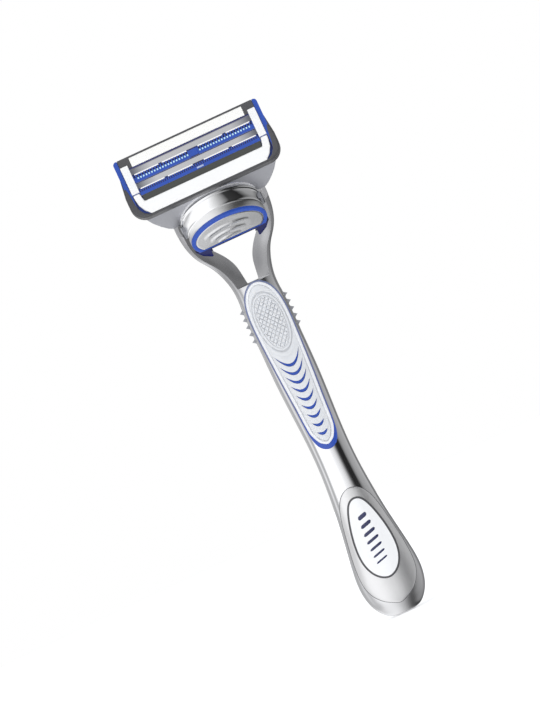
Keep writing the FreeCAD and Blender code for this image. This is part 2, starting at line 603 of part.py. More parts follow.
for side in (1, -1):
    sk = new_sketch(b, "lug_%d" % side, "YZ_Plane", D + "lug_inner" if side > 0 else "-Dims.lug_outer")
    polygon(sk, [(-1.5, 0), (-1.06, -1.06), (0, -1.5), (1.06, -1.06), (1.5, 0), (1.5, D + "back_plane"), (-1.5, D + "back_plane")])
    pad(b, sk, "Dims.lug_outer - Dims.lug_inner")
    sk = new_sketch(b, "lug_hole_%d" % side, "YZ_Plane", "Dims.lug_outer + 0.3" if side > 0 else "-(Dims.lug_inner - 0.3)")
    circle(sk, 0, 0, D + "pin_hole_radius")
    pocket(b, sk, "Dims.lug_outer - Dims.lug_inner + 0.6")
sk = new_sketch(b, "windows", offset=D + "floor_w")
for row in ((4.4, 6.3), (7.6, 9.6)):
    for x0, x1 in ((1.6, 8.6), (9.6, 16.4)):
        rectangle(sk, x0, x1, row[0], row[1])
        rectangle(sk, -x1, -x0, row[0], row[1])
pocket(b, sk, "Dims.floor_w - Dims.back_plane + 0.5")
sk = new_sketch(b, "clip_ways", offset=8.0)
for lo, hi in (("Dims.clip_low", "Dims.clip_low + Dims.clip_thick + 0.05"), ("Dims.clip_high - Dims.clip_thick - 0.05", "Dims.clip_high")):
    rectangle(sk, D + "clip_inner", D + "clip_outer", lo, hi)
    rectangle(sk, "-Dims.clip_outer", "-Dims.clip_inner", lo, hi)
pocket(b, sk)

b = new_body("bumper", CART)
sk = new_sketch(b, "bumper_outline", offset=D + "bumper_back")
hf, fb = D + "frame_half", D + "frame_bottom"
bh, bb = D + "bumper_half", D + "bumper_bottom"
# outer line from the top left, round the bottom, to the top right, and back along the housing
polygon(sk, [(-20.42, D + "bumper_top"), (-20.75, 5.6), ("-Dims.bumper_half", 3.0), ("-Dims.bumper_half", bb), (D + "bumper_half", bb),
             (D + "bumper_half", 3.0), (20.75, 5.6), (20.42, D + "bumper_top"), (hf, D + "bumper_top"), (hf, fb),
             ("-Dims.frame_half", fb), ("-Dims.frame_half", D + "bumper_top")])
pad(b, sk, "Dims.bumper_w - Dims.bumper_back")
fillet(b, [("-Dims.bumper_half", bb), (D + "bumper_half", bb)], 4.0)
fillet(b, [("-Dims.frame_half", fb), (D + "frame_half", fb)], 3.2)

b = new_body("front_strip", CART)
sk = new_sketch(b, "strip_outline", offset=D + "beam_w")
sr = [(16.4, D + "strip_low"), (17.7, -1.55), (18.6, 0.1), (18.95, 1.9), (19.05, 3.1), (17.2, 3.1), (17.05, 2.0), (16.75, D + "strip_high")]
polygon(sk, sr + flip(sr))
pad(b, sk, "Dims.strip_w - Dims.beam_w")

b = new_body("guard_band", CART)
sk = new_sketch(b, "band_outline", offset=D + "beam_w")
rectangle(sk, "-Dims.band_half", D + "band_half", D + "strip_high", D + "comb_low")
pad(b, sk, "Dims.band_w - Dims.beam_w")

b = new_body("cap_frame", CART)
sk = new_sketch(b, "capframe_outline", offset=4.5)
cr = [(D + "cap_half", D + "cap_high"), (D + "cap_half", D + "cap_low"), (16.95, D + "cap_low"), (16.95, 11.12),
      (D + "clip_outer", 11.12), (D + "clip_outer", D + "frame_top")]
polygon(sk, cr + flip(cr))
pad(b, sk, "Dims.capframe_w - 4.5")

b = new_body("cap_strip", CART)
sk = new_sketch(b, "cap_outline", offset=4.5)
rectangle(sk, "-Dims.cap_half", D + "cap_half", D + "cap_low", D + "cap_high")
pad(b, sk, "Dims.cap_w - 4.5")
fillet(b, [(D + "cap_low", D + "cap_w"), (D + "cap_high", D + "cap_w")], 0.35, axis="x")

# blades: a thin strip on a bent support, both leaning down towards the comb
for name, step in (("front", "0"), ("rear", "Dims.blade_step")):
    def pt(dv, w, step=step):
        return ("Dims.blade_low + %s + %s" % (step, dv), w)
    b = new_body("blade_%s" % name, CART)
    sk = new_sketch(b, "blade_%s_section" % name, "YZ_Plane", 0.0)
    polygon(sk, [pt("0", 5.85), pt("1.485", 5.256), pt("1.44", 5.145), pt("0.28", 5.61)])
    pad(b, sk, "2 * Dims.blade_half", both=True)
    b = new_body("blade_%s_support" % name, CART)
    sk = new_sketch(b, "support_%s_section" % name, "YZ_Plane", 0.0)
    polygon(sk, [pt("0.37", 5.562), pt("1.437", 5.135), pt("1.44", 3.0), pt("1.09", 3.0), pt("1.09", 4.88), pt("0.24", 5.237)])
    pad(b, sk, "2 * Dims.blade_half", both=True)

b = new_body("skin_guard", CART)
sk = new_sketch(b, "guard_outline", offset=D + "guard_back")
rectangle(sk, "-Dims.guard_half", D + "guard_half", D + "guard_low", D + "guard_high")
pad(b, sk, "Dims.guard_w - Dims.guard_back")
sk = new_sketch(b, "guard_slots", offset=D + "guard_w")
for side in (-1, 1):
    for k in range(20):
        x = side * (1.75 + 0.78 * k)
        pts = [V(x - 0.22, 7.25, 0), V(x + 0.22, 7.25, 0), V(x + 0.22, 8.2, 0), V(x - 0.22, 8.2, 0)]
        n0 = sk.GeometryCount
        for i in range(4):
            sk.addGeometry(Part.LineSegment(pts[i], pts[(i + 1) % 4]), False)
        for i in range(4):
            sk.addConstraint(Sketcher.Constraint("Coincident", n0 + i, 2, n0 + (i + 1) % 4, 1))
pocket(b, sk, 0.5)

for side, name in ((-1, "left"), (1, "right")):
    b = new_body("clip_%s" % name, CART)
    sk = new_sketch(b, "clip_%s_section" % name, "YZ_Plane", D + "clip_inner" if side > 0 else "-Dims.clip_outer")
    lo, hi, w, t = D + "clip_low", D + "clip_high", D + "clip_w", D + "clip_thick"
    polygon(sk, [(lo, w), (hi, w), (hi, 1.3), (hi + " - 1.45", 1.3), (hi + " - 1.45", 1.6), (hi + " - 0.35", 1.6),
                 (hi + " - 0.35", w + " - " + t), (lo + " + 0.35", w + " - " + t), (lo + " + 0.35", 1.6), (lo + " + 1.45", 1.6),
                 (lo + " + 1.45", 1.3), (lo, 1.3)])
    pad(b, sk, "Dims.clip_outer - Dims.clip_inner")

# ---------------------------------------------------------------- checks and files
doc.recompute()
for obj in doc.Objects:
    state = [str(s) for s in obj.State]
    if any(s in ("Invalid", "Error") for s in state):
        raise RuntimeError("%s failed: %s" % (obj.Label, state))
total = None
for node in NODES:
    shape = node.Shape
    if shape.isNull() or not shape.isValid() or not shape.Solids:
        raise RuntimeError("%s has no valid solid" % node.Label)
    bb = shape.BoundBox
    total = bb if total is None else total.united(bb)
    print("%-22s solids %d  vol %9.3f  x %7.2f %7.2f  y %7.2f %7.2f  z %7.2f %7.2f" % (
        node.Label, len(shape.Solids), shape.Volume, bb.XMin, bb.XMax, bb.YMin, bb.YMax, bb.ZMin, bb.ZMax))
print("pivot at", tuple(round(c, 4) for c in PIVOT), "slide axis", tuple(round(c, 6) for c in S_DIR),
      "float axis", tuple(round(-c, 6) for c in W_DIR))
print("whole", total)
os.makedirs("parts", exist_ok=True)
for node in NODES:
    node.Shape.exportStep("parts/%s.step" % node.Label)
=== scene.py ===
import json
import math

import bmesh
import bpy
import numpy as np
from mathutils import Matrix, Vector

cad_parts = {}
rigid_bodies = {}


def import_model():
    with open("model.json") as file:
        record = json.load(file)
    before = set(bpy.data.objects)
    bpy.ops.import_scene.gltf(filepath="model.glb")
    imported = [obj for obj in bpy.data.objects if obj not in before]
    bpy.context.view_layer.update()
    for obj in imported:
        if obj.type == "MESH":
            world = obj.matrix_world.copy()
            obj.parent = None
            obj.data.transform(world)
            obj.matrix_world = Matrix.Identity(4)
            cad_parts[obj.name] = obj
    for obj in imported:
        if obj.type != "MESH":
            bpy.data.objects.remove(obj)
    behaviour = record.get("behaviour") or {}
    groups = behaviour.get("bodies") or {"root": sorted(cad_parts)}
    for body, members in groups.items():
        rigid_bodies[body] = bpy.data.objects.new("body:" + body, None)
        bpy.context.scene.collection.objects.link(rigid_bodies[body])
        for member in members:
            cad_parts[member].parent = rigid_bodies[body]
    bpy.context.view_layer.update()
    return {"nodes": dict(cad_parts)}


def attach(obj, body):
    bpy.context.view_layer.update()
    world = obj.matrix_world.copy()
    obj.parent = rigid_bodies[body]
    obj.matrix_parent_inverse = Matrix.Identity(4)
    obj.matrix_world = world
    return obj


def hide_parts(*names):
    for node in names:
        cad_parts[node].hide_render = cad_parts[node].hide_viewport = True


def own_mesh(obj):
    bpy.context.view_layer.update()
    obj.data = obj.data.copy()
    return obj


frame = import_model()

scene = bpy.context.scene
scene.view_settings.view_transform = "Standard"
scene.view_settings.look = "None"
MM = 0.001

# ------------------------------------------------------------------ frames (millimetres)
LEAN, TILT = math.radians(40.0), math.radians(11.0)
S_DIR = Vector((0, -math.sin(LEAN), math.cos(LEAN)))
D_DIR = Vector((0, -math.cos(LEAN), -math.sin(LEAN)))
V_DIR = Vector((0, math.sin(TILT), math.cos(TILT)))
W_DIR = Vector((0, -math.cos(TILT), math.sin(TILT)))
DOCK = Vector((0, -9.95, 112.2))
PIVOT = DOCK + S_DIR * 10.2 + D_DIR * -5.9


def dock(x, s, d):
    return DOCK + Vector((x, 0, 0)) + S_DIR * s + D_DIR * d


def cart(x, v, w):
    return PIVOT + Vector((x, 0, 0)) + V_DIR * v + W_DIR * w


# ------------------------------------------------------------------ materials
def mat_new(name):
    m = bpy.data.materials.new(name)
    m.use_nodes = True
    nt = m.node_tree
    p = nt.nodes["Principled BSDF"]
    return m, nt, p


def node(nt, kind, **kw):
    n = nt.nodes.new(kind)
    for k, v in kw.items():
        setattr(n, k, v)
    return n


def noise(nt, coord, scale, detail=3.0, rough=0.55):
    n = node(nt, "ShaderNodeTexNoise")
    n.inputs["Scale"].default_value = scale
    n.inputs["Detail"].default_value = detail
    n.inputs["Roughness"].default_value = rough
    nt.links.new(coord, n.inputs["Vector"])
    return n


def ramp(nt, fac, stops):
    r = node(nt, "ShaderNodeValToRGB")
    el = r.color_ramp.elements
    while len(el) > 1:
        el.remove(el[-1])
    el[0].position, el[0].color = stops[0][0], (*stops[0][1], 1)
    for pos, col in stops[1:]:
        e = el.new(pos)
        e.color = (*col, 1)
    nt.links.new(fac, r.inputs["Fac"])
    return r


def material(name, color, dark=None, metallic=0.0, rough=(0.3, 0.4), scale=900.0, bump=0.0, bump_scale=2500.0,
             stretch=(1, 1, 1), coat=0.0, coat_rough=0.05, sss=0.0, ior=1.5, spec=0.5, aniso=0.0, trans=0.0, edge=None, big=60.0,
             painted_cavity_shade=None, rough_z=None, color_z=None, painted_shade_x=None):
    m, nt, p = mat_new(name)
    co = node(nt, "ShaderNodeTexCoord")
    mp = node(nt, "ShaderNodeMapping")
    mp.inputs["Scale"].default_value = stretch
    nt.links.new(co.outputs["Object"], mp.inputs["Vector"])
    n1 = noise(nt, mp.outputs["Vector"], scale)
    n2 = noise(nt, co.outputs["Object"], big, 2.0)
    dark = dark or tuple(c * 0.93 for c in color)
    r = ramp(nt, n2.outputs["Fac"], [(0.3, dark), (0.7, color)])
    out = r.outputs["Color"]
    if edge:
        geo = node(nt, "ShaderNodeNewGeometry")
        er = ramp(nt, geo.outputs["Pointiness"], [(0.5, (0, 0, 0)), (0.62, (1, 1, 1))])
        mx = node(nt, "ShaderNodeMix", data_type="RGBA")
        nt.links.new(er.outputs["Color"], mx.inputs["Factor"])
        nt.links.new(out, mx.inputs[6])
        mx.inputs[7].default_value = (*edge, 1)
        out = mx.outputs[2]
    sep = node(nt, "ShaderNodeSeparateXYZ")
    nt.links.new(co.outputs["Object"], sep.inputs["Vector"])

    def along(lo, hi):
        q = node(nt, "ShaderNodeMapRange")
        q.inputs["From Min"].default_value, q.inputs["From Max"].default_value = lo * MM, hi * MM
        nt.links.new(sep.outputs["Z"], q.inputs["Value"])
        return q.outputs["Result"]

    # colour multiplied by a ramp along z: on the plating it carries painted shade, on the blue base a paler tint
    # towards the top
    if color_z:
        cz = ramp(nt, along(0, 140), [(z / 140.0, c) for z, c in color_z])
        mx = node(nt, "ShaderNodeMix", data_type="RGBA", blend_type="MULTIPLY")
        mx.inputs["Factor"].default_value = 1.0
        nt.links.new(out, mx.inputs[6])
        nt.links.new(cz.outputs["Color"], mx.inputs[7])
        out = mx.outputs[2]
    # painted shade: colour multiplied by a ramp on |x|, darker towards the ends
    if painted_shade_x:
        ab = node(nt, "ShaderNodeMath", operation="ABSOLUTE")
        nt.links.new(sep.outputs["X"], ab.inputs[0])
        q = node(nt, "ShaderNodeMapRange")
        q.inputs["From Max"].default_value = 20 * MM
        nt.links.new(ab.outputs[0], q.inputs["Value"])
        cx = ramp(nt, q.outputs["Result"], [(x / 20.0, c) for x, c in painted_shade_x])
        mx = node(nt, "ShaderNodeMix", data_type="RGBA", blend_type="MULTIPLY")
        mx.inputs["Factor"].default_value = 1.0
        nt.links.new(out, mx.inputs[6])
        nt.links.new(cx.outputs["Color"], mx.inputs[7])
        out = mx.outputs[2]
    # painted shade: mixes in a darker colour where Pointiness finds creases and recesses
    if painted_cavity_shade:
        geo = node(nt, "ShaderNodeNewGeometry")
        er = ramp(nt, geo.outputs["Pointiness"], [(painted_cavity_shade[0], (1, 1, 1)), (painted_cavity_shade[1], (0, 0, 0))])
        mx = node(nt, "ShaderNodeMix", data_type="RGBA")
        nt.links.new(er.outputs["Color"], mx.inputs["Factor"])
        nt.links.new(out, mx.inputs[6])
        mx.inputs[7].default_value = (*painted_cavity_shade[2], 1)
        out = mx.outputs[2]
    nt.links.new(out, p.inputs["Base Color"])
    mr = node(nt, "ShaderNodeMapRange")
    mr.inputs["To Min"].default_value, mr.inputs["To Max"].default_value = rough
    mr.inputs["From Min"].default_value, mr.inputs["From Max"].default_value = 0.3, 0.7
    nt.links.new(n1.outputs["Fac"], mr.inputs["Value"])
    if rough_z:
        rz = ramp(nt, along(0, 140), [(z / 140.0, (v, v, v)) for z, v in rough_z])
        ad = node(nt, "ShaderNodeMath", operation="ADD")
        nt.links.new(rz.outputs["Color"], ad.inputs[0])
        nt.links.new(mr.outputs["Result"], ad.inputs[1])
        nt.links.new(ad.outputs[0], p.inputs["Roughness"])
    else:
        nt.links.new(mr.outputs["Result"], p.inputs["Roughness"])
    p.inputs["Metallic"].default_value = metallic
    p.inputs["IOR"].default_value = ior
    p.inputs["Specular IOR Level"].default_value = spec
    p.inputs["Coat Weight"].default_value = coat
    p.inputs["Coat Roughness"].default_value = coat_rough
    p.inputs["Anisotropic"].default_value = aniso
    if sss:
        p.inputs["Subsurface Weight"].default_value = sss
        p.inputs["Subsurface Scale"].default_value = 0.0015
        p.inputs["Subsurface Radius"].default_value = (1.0, 0.9, 0.8)
    if trans:
        p.inputs["Transmission Weight"].default_value = trans
    if bump:
        n3 = noise(nt, mp.outputs["Vector"], bump_scale, 2.0)
        b = node(nt, "ShaderNodeBump")
        b.inputs["Strength"].default_value = 1.0
        b.inputs["Distance"].default_value = bump * MM
        nt.links.new(n3.outputs["Fac"], b.inputs["Height"])
        nt.links.new(b.outputs["Normal"], p.inputs["Normal"])
    return m


M = {
    # plating: its colour ramp is a little darker towards the bulb, and the much darker fork arms above z 97 are painted
    # shade that dims their reflections
    "chrome": material("plated_chrome", (0.90, 0.905, 0.915), (0.87, 0.875, 0.89), 1.0, (0.05, 0.07), 500, 0.0,
                       rough_z=[(0, 0.26), (16, 0.22), (28, 0.16), (38, 0.03), (47, 0.02), (60, 0.08), (90, 0.12), (96, 0.2), (112, 0.22)],
                       color_z=[(0, (0.9, 0.9, 0.9)), (30, (0.93, 0.93, 0.93)), (38, (1, 1, 1)), (90, (0.95, 0.95, 0.95)), (97, (0.68, 0.68, 0.69)), (112, (0.66, 0.66, 0.67))]),
    "hood": material("mirror_chrome", (0.93, 0.935, 0.945), (0.91, 0.915, 0.925), 1.0, (0.06, 0.08), 500, 0.0),
    # hood lugs: a dark grey, painted shade so they sink into the shade behind the hood's ends
    "lug": material("lug_plating", (0.42, 0.43, 0.46), (0.36, 0.37, 0.40), 0.9, (0.3, 0.36), 1400),
    "satin": material("satin_plating", (0.84, 0.845, 0.85), (0.80, 0.805, 0.81), 1.0, (0.27, 0.33), 1400, 0.0004, 2600, (1, 1, 3)),
    "plate": material("satin_plate", (0.86, 0.86, 0.865), (0.83, 0.83, 0.835), 0.85, (0.36, 0.42), 1200, 0.0004, 1800, (3, 3, 0.5)),
    "seam": material("seam_shadow", (0.16, 0.16, 0.17), (0.12, 0.12, 0.13), 0.3, (0.4, 0.5), 1200),
    "button": material("silver_plastic", (0.70, 0.705, 0.715), (0.66, 0.665, 0.675), 0.9, (0.20, 0.25), 1500, 0.0003, 2600, coat=0.2, coat_rough=0.1),
    "yoke": material("yoke_silver", (0.50, 0.505, 0.53), (0.45, 0.455, 0.485), 0.5, (0.30, 0.36), 1600, 0.0006, 3000, coat=0.15, coat_rough=0.2),
    # a lighter copy of the yoke colour: painted highlight for the rim along the hood arc
    "yoke_rim_highlight": material("yoke_edge", (0.80, 0.80, 0.82), (0.74, 0.74, 0.76), 0.4, (0.22, 0.28), 1600, coat=0.2, coat_rough=0.1),
    # blue plastic; its cavity colour is painted shade, navy in creases and recesses
    "blue": material("blue_plastic", (0.030, 0.090, 0.46), (0.022, 0.070, 0.37), 0.0, (0.22, 0.30), 1200, 0.0004, 2500, coat=0.12, coat_rough=0.08, spec=0.35,
                     painted_cavity_shade=(0.46, 0.5, (0.006, 0.012, 0.12))),
    "grip_blue": material("blue_plastic_under", (0.030, 0.080, 0.44), (0.022, 0.065, 0.37), 0.0, (0.20, 0.28), 1200, 0.0004, 2500, coat=0.3, coat_rough=0.08, spec=0.4),
    # pale cyan studs: painted highlights standing for the glints on the rounded comb teeth
    "stud_highlight": material("blue_plastic_studs", (0.62, 0.88, 0.97), (0.45, 0.78, 0.93), 0.0, (0.2, 0.3), 2000, coat=0.3, coat_rough=0.1),
    "tab": material("blue_plastic_tab", (0.42, 0.50, 0.72), (0.34, 0.42, 0.66), 0.0, (0.2, 0.3), 2000, coat=0.3, coat_rough=0.1),
    "navy": material("navy_plastic", (0.010, 0.016, 0.15), (0.004, 0.007, 0.07), 0.0, (0.12, 0.2), 1200, 0.0004, 2500, coat=0.4, coat_rough=0.08, spec=0.4),
    # overlay field: a darker copy of the overlay's white, painted shade for the grey between the shingled swells, with
    # painted shade in its recesses
    "field": material("soft_overlay_field", (0.74, 0.752, 0.775), (0.68, 0.694, 0.72), 0.0, (0.26, 0.34), 900, 0.001, 2200, sss=0.12, coat=0.35, coat_rough=0.15,
                      painted_cavity_shade=(0.455, 0.5, (0.34, 0.35, 0.38))),
    # soft overlay; its cavity colour is painted shade, grey in grooves and pits
    "overlay": material("soft_overlay", (0.85, 0.86, 0.885), (0.81, 0.82, 0.85), 0.0, (0.26, 0.34), 900, 0.001, 2200, sss=0.12, coat=0.35, coat_rough=0.15,
                        painted_cavity_shade=(0.455, 0.5, (0.45, 0.46, 0.50))),
    "ribs": material("rib_rubber", (0.40, 0.405, 0.43), (0.34, 0.345, 0.37), 0.0, (0.42, 0.55), 1500, 0.002, 2600),
    "dark": material("dark_plastic", (0.085, 0.085, 0.092), (0.065, 0.065, 0.07), 0.0, (0.34, 0.46), 1600, 0.001, 2600),
    "rubber": material("bumper_rubber", (0.075, 0.075, 0.08), (0.052, 0.052, 0.057), 0.0, (0.36, 0.46), 1500, 0.002, 2400, coat=0.15, coat_rough=0.25),
    "band": material("guard_rubber", (0.066, 0.070, 0.064), (0.050, 0.053, 0.050), 0.0, (0.5, 0.6), 1500, 0.002, 2400),
    "white": material("white_gloss", (0.88, 0.885, 0.90), (0.85, 0.855, 0.875), 0.0, (0.10, 0.16), 500, 0.0, 900, coat=0.7, coat_rough=0.04),
    "badge_white": material("badge_enamel", (0.90, 0.905, 0.915), (0.88, 0.885, 0.90), 0.0, (0.12, 0.18), 400, 0.0, 700, coat=0.8, coat_rough=0.05),
    "strip": material("strip_white", (0.93, 0.93, 0.93), (0.91, 0.91, 0.91), 0.0, (0.16, 0.22), 900, 0.0004, 1500, coat=0.5, coat_rough=0.08),
    "lube": material("lubricant_strip", (0.95, 0.945, 0.915), (0.925, 0.92, 0.885), 0.0, (0.36, 0.46), 1300, 0.001, 2200, sss=0.05),
    # blade steel; its ramp on |x| is painted shade, dark grey at the blade ends by the clips
    "blade": material("blade_steel", (0.90, 0.905, 0.92), (0.80, 0.805, 0.825), 1.0, (0.10, 0.16), 700, 0.0, 1500, (0.3, 4, 4),
                      painted_shade_x=[(0, (1, 1, 1)), (11.5, (1, 1, 1)), (14.5, (0.62, 0.63, 0.66)), (16.6, (0.28, 0.29, 0.33)), (17.2, (0.25, 0.26, 0.3))]),
    "support": material("support_steel", (0.66, 0.67, 0.69), (0.56, 0.57, 0.59), 1.0, (0.26, 0.34), 900, 0.0, 1500, (0.3, 4, 4)),
    "clip": material("clip_aluminium", (0.97, 0.975, 0.98), (0.95, 0.955, 0.96), 0.25, (0.34, 0.42), 900, 0.0006, 1500, (4, 0.6, 0.6)),
    "spring": material("spring_wire", (0.62, 0.62, 0.64), (0.52, 0.52, 0.54), 1.0, (0.2, 0.3), 900),
    "pin": material("plunger_plastic", (0.80, 0.80, 0.81), (0.74, 0.74, 0.75), 0.0, (0.3, 0.4), 1200, 0.001, 2000),
    "mark": material("badge_mark", (0.03, 0.035, 0.11), (0.02, 0.025, 0.085), 0.0, (0.18, 0.26), 900, coat=0.4, coat_rough=0.08),
}
GRAD = [(0, (1, 1, 1)), (51, (1, 1, 1)), (60, (4.0, 1.7, 0.72)), (100, (6.5, 2.7, 0.85))]
M["grip_blue"] = material("blue_plastic_under", (0.030, 0.085, 0.45), (0.024, 0.070, 0.39), 0.0, (0.20, 0.28), 1200, 0.0004, 2500, coat=0.3, coat_rough=0.08,
                          spec=0.4, color_z=GRAD)


# ------------------------------------------------------------------ mesh helpers
def finish_mesh(me, angle=32.0):
    bm = bmesh.new()
    bm.from_mesh(me)
    lim = math.radians(angle)
    for f in bm.faces:
        f.smooth = True
    for e in bm.edges:
        e.smooth = len(e.link_faces) == 2 and e.calc_face_angle(0.0) < lim
    bm.to_mesh(me)
    bm.free()


def make(name, verts, faces, mat, body, replaces=(), angle=32.0, merge=0.0, weights=None):
    me = bpy.data.meshes.new(name)
    me.from_pydata([Vector(v) * MM for v in verts], [], faces)
    bm = bmesh.new()
    bm.from_mesh(me)
    if merge:
        bmesh.ops.remove_doubles(bm, verts=bm.verts, dist=merge * MM)
        bmesh.ops.dissolve_degenerate(bm, edges=bm.edges, dist=merge * MM * 0.5)
    bmesh.ops.recalc_face_normals(bm, faces=bm.faces)
    bm.to_mesh(me)
    bm.free()
    finish_mesh(me, angle)
    o = bpy.data.objects.new(name, me)
    scene.collection.objects.link(o)
    me.materials.append(M[mat])
    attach(o, body)
    if replaces:
        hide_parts(*replaces)
    return o


def bevel(o, width, segments=3, angle=28.0, weight=False):
    b = o.modifiers.new("round", "BEVEL")
    b.width = width * MM
    b.segments = segments
    b.limit_method = "WEIGHT" if weight else "ANGLE"
    b.angle_limit = math.radians(angle)
    b.harden_normals = True
    b.miter_outer = "MITER_SHARP"
    b.use_clamp_overlap = True
    return b


def bake_mods(o):
    dg = bpy.context.evaluated_depsgraph_get()
    me = bpy.data.meshes.new_from_object(o.evaluated_get(dg))
    o.modifiers.clear()
    o.data = me
    return o


def tidy(o, angle=34, least=12):
    """Apply the modifiers, weld, drop crumbs smaller than a few faces and close what they leave open."""
    bake_mods(o)
    bm = bmesh.new()
    bm.from_mesh(o.data)
    bmesh.ops.remove_doubles(bm, verts=bm.verts, dist=2e-6)
    bmesh.ops.dissolve_degenerate(bm, edges=bm.edges, dist=1e-6)
    bm.faces.index_update()
    seen, drop = set(), []
    for f in bm.faces:
        if f.index in seen:
            continue
        island, todo = [], [f]
        seen.add(f.index)
        while todo:
            g = todo.pop()
            island.append(g)
            for e in g.edges:
                for h in e.link_faces:
                    if h.index not in seen:
                        seen.add(h.index)
                        todo.append(h)
        if len(island) < least:
            drop += island
    bmesh.ops.delete(bm, geom=drop, context="FACES")
    bmesh.ops.delete(bm, geom=[v for v in bm.verts if not v.link_faces], context="VERTS")
    rims = [e for e in bm.edges if len(e.link_faces) == 1]
    if rims:
        bmesh.ops.holes_fill(bm, edges=rims, sides=0)
    bmesh.ops.triangulate(bm, faces=bm.faces)
    for _ in range(6):
        bmesh.ops.remove_doubles(bm, verts=bm.verts, dist=1e-6)
        bm.verts.index_update()
        same = {}
        for f in bm.faces:
            same.setdefault(tuple(sorted(v.index for v in f.verts)), []).append(f)
        flaps = [f for group in same.values() if len(group) > 1 for f in group]
        flaps += [f for f in bm.faces if all(len(e.link_faces) != 2 for e in f.edges)]
        flaps = list(dict.fromkeys(flaps))
        if not flaps:
            break
        bmesh.ops.delete(bm, geom=flaps, context="FACES")
    bmesh.ops.delete(bm, geom=[v for v in bm.verts if not v.link_faces], context="VERTS")
    bmesh.ops.recalc_face_normals(bm, faces=bm.faces)
    bm.to_mesh(o.data)
    bm.free()
    finish_mesh(o.data, angle)
    return o


def cad_piece(nodename, mat, width, body, segments=3, name=None, angle=28.0):
    """The CAD solid's own planes, merged to clean faces and rounded along every edge."""
    src = frame["nodes"][nodename]
    me = src.data.copy()
    me.name = (name or nodename + "_shell")
    bm = bmesh.new()
    bm.from_mesh(me)
    bm.transform(src.matrix_world)
    bmesh.ops.remove_doubles(bm, verts=bm.verts, dist=2e-6)
    bmesh.ops.dissolve_limit(bm, angle_limit=math.radians(0.6), verts=bm.verts, edges=bm.edges, use_dissolve_boundaries=False)
    bmesh.ops.recalc_face_normals(bm, faces=bm.faces)
    bm.to_mesh(me)
    bm.free()
    finish_mesh(me)
    me.materials.clear()
    me.materials.append(M[mat])
    o = bpy.data.objects.new(me.name, me)
    scene.collection.objects.link(o)
    if width:
        bevel(o, width, segments, angle)
    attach(o, body)
    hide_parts(nodename)
    return o


def plain_cad(nodename, mat):
    o = frame["nodes"][nodename]
    o.data.materials.clear()
    o.data.materials.append(M[mat])


# ------------------------------------------------------------------ handle surface
STATIONS = np.array([
    (0.00, 0.00, 0, 2.60, 1.50, 2.0), (0.02, 0.35, 0, 3.85, 2.20, 2.1), (0.05, 1.00, 0, 5.00, 2.80, 2.2),
    (0.10, 2.00, 0, 6.00, 3.35, 2.2), (0.18, 3.50, 0, 7.05, 3.95, 2.3), (0.32, 6.10, 0, 8.10, 4.45, 2.3),
    (0.55, 10.5, 0, 8.65, 4.75, 2.3), (0.85, 15.0, 0, 8.30, 4.70, 2.3), (1.10, 19.1, 0, 7.70, 4.50, 2.3),
    (1.50, 26.8, 0, 6.55, 4.10, 2.3), (1.85, 34.6, 0, 5.70, 3.80, 2.3), (2.10, 42.4, 0, 5.20, 3.70, 2.3),
    (2.15, 52.8, 0, 5.30, 3.90, 2.3), (1.75, 65.7, 0, 5.90, 4.30, 2.4), (0.95, 78.7, 0, 6.00, 4.60, 2.5),
    (0.00, 89.0, 0, 5.85, 4.75, 2.6), (-0.60, 94.0, 1, 5.80, 4.80, 2.8), (-0.90, 97.0, 3, 6.35, 4.85, 3.0),
    (-1.15, 99.9, 6, 7.30, 4.85, 3.2), (-1.60, 102.8, 10, 8.75, 4.85, 3.4), (-2.25, 105.8, 15, 10.80, 4.85, 3.6),
    (-3.15, 109.15, 23, 12.20, 5.05, 3.8), (-4.70, 112.65, 33, 12.85, 5.2, 4.0),
])
_end = DOCK + S_DIR * 0.3 + D_DIR * -4.5
STATIONS = np.vstack([STATIONS, [_end.y, _end.z, 40.0, 13.05, 5.3, 4.0]])


def spline(xs, ys, q):
    """Natural cubic spline through (xs, ys), read at q."""
    n = len(xs)
    h = np.diff(xs)
    a = np.zeros((n, n))
    r = np.zeros(n)
    a[0, 0] = a[-1, -1] = 1
    for i in range(1, n - 1):
        a[i, i - 1], a[i, i], a[i, i + 1] = h[i - 1], 2 * (h[i - 1] + h[i]), h[i]
        r[i] = 3 * ((ys[i + 1] - ys[i]) / h[i] - (ys[i] - ys[i - 1]) / h[i - 1])
    c = np.linalg.solve(a, r)
    b = (ys[1:] - ys[:-1]) / h - h * (2 * c[:-1] + c[1:]) / 3
    d = (c[1:] - c[:-1]) / (3 * h)
    i = np.clip(np.searchsorted(xs, q) - 1, 0, n - 2)
    t = q - xs[i]
    return ys[i] + b[i] * t + c[i] * t * t + d[i] * t ** 3


PATH = np.concatenate([[0], np.cumsum(np.sqrt(np.diff(STATIONS[:, 0]) ** 2 + np.diff(STATIONS[:, 1]) ** 2 + np.diff(STATIONS[:, 3]) ** 2))])


def stations_at(q):
    q = np.asarray(q, float)
    return np.stack([spline(PATH, STATIONS[:, j], q) for j in range(6)], axis=-1)


DENSE_Q = np.linspace(0, PATH[-1], 1400)
DENSE = stations_at(DENSE_Q)
SPLIT_Z = 94.6
SPLIT_Q = float(np.interp(SPLIT_Z, DENSE[:, 1], DENSE_Q))


def front_y(x, z):
    """Front surface of the shaft below the fork."""
    yc, hw, hd, n = (np.interp(z, DENSE[:, 1], DENSE[:, j]) for j in (0, 3, 4, 5))
    k = np.clip(1 - np.abs(x / hw) ** n, 0.0, 1.0)
    return yc - hd * k ** (1 / n)


# inside of the fork, by station: half width of the front mouth and of the back mouth
FORK_Q = PATH[[16, 17, 18, 19, 20, 21, 22, 23]]
FORK_F = np.array([4.5, 5.05, 6.0, 7.45, 9.5, 10.9, 11.5, 11.6])
FORK_B = np.array([1.45, 1.85, 2.45, 4.1, 6.8, 9.6, 10.9, 11.0])


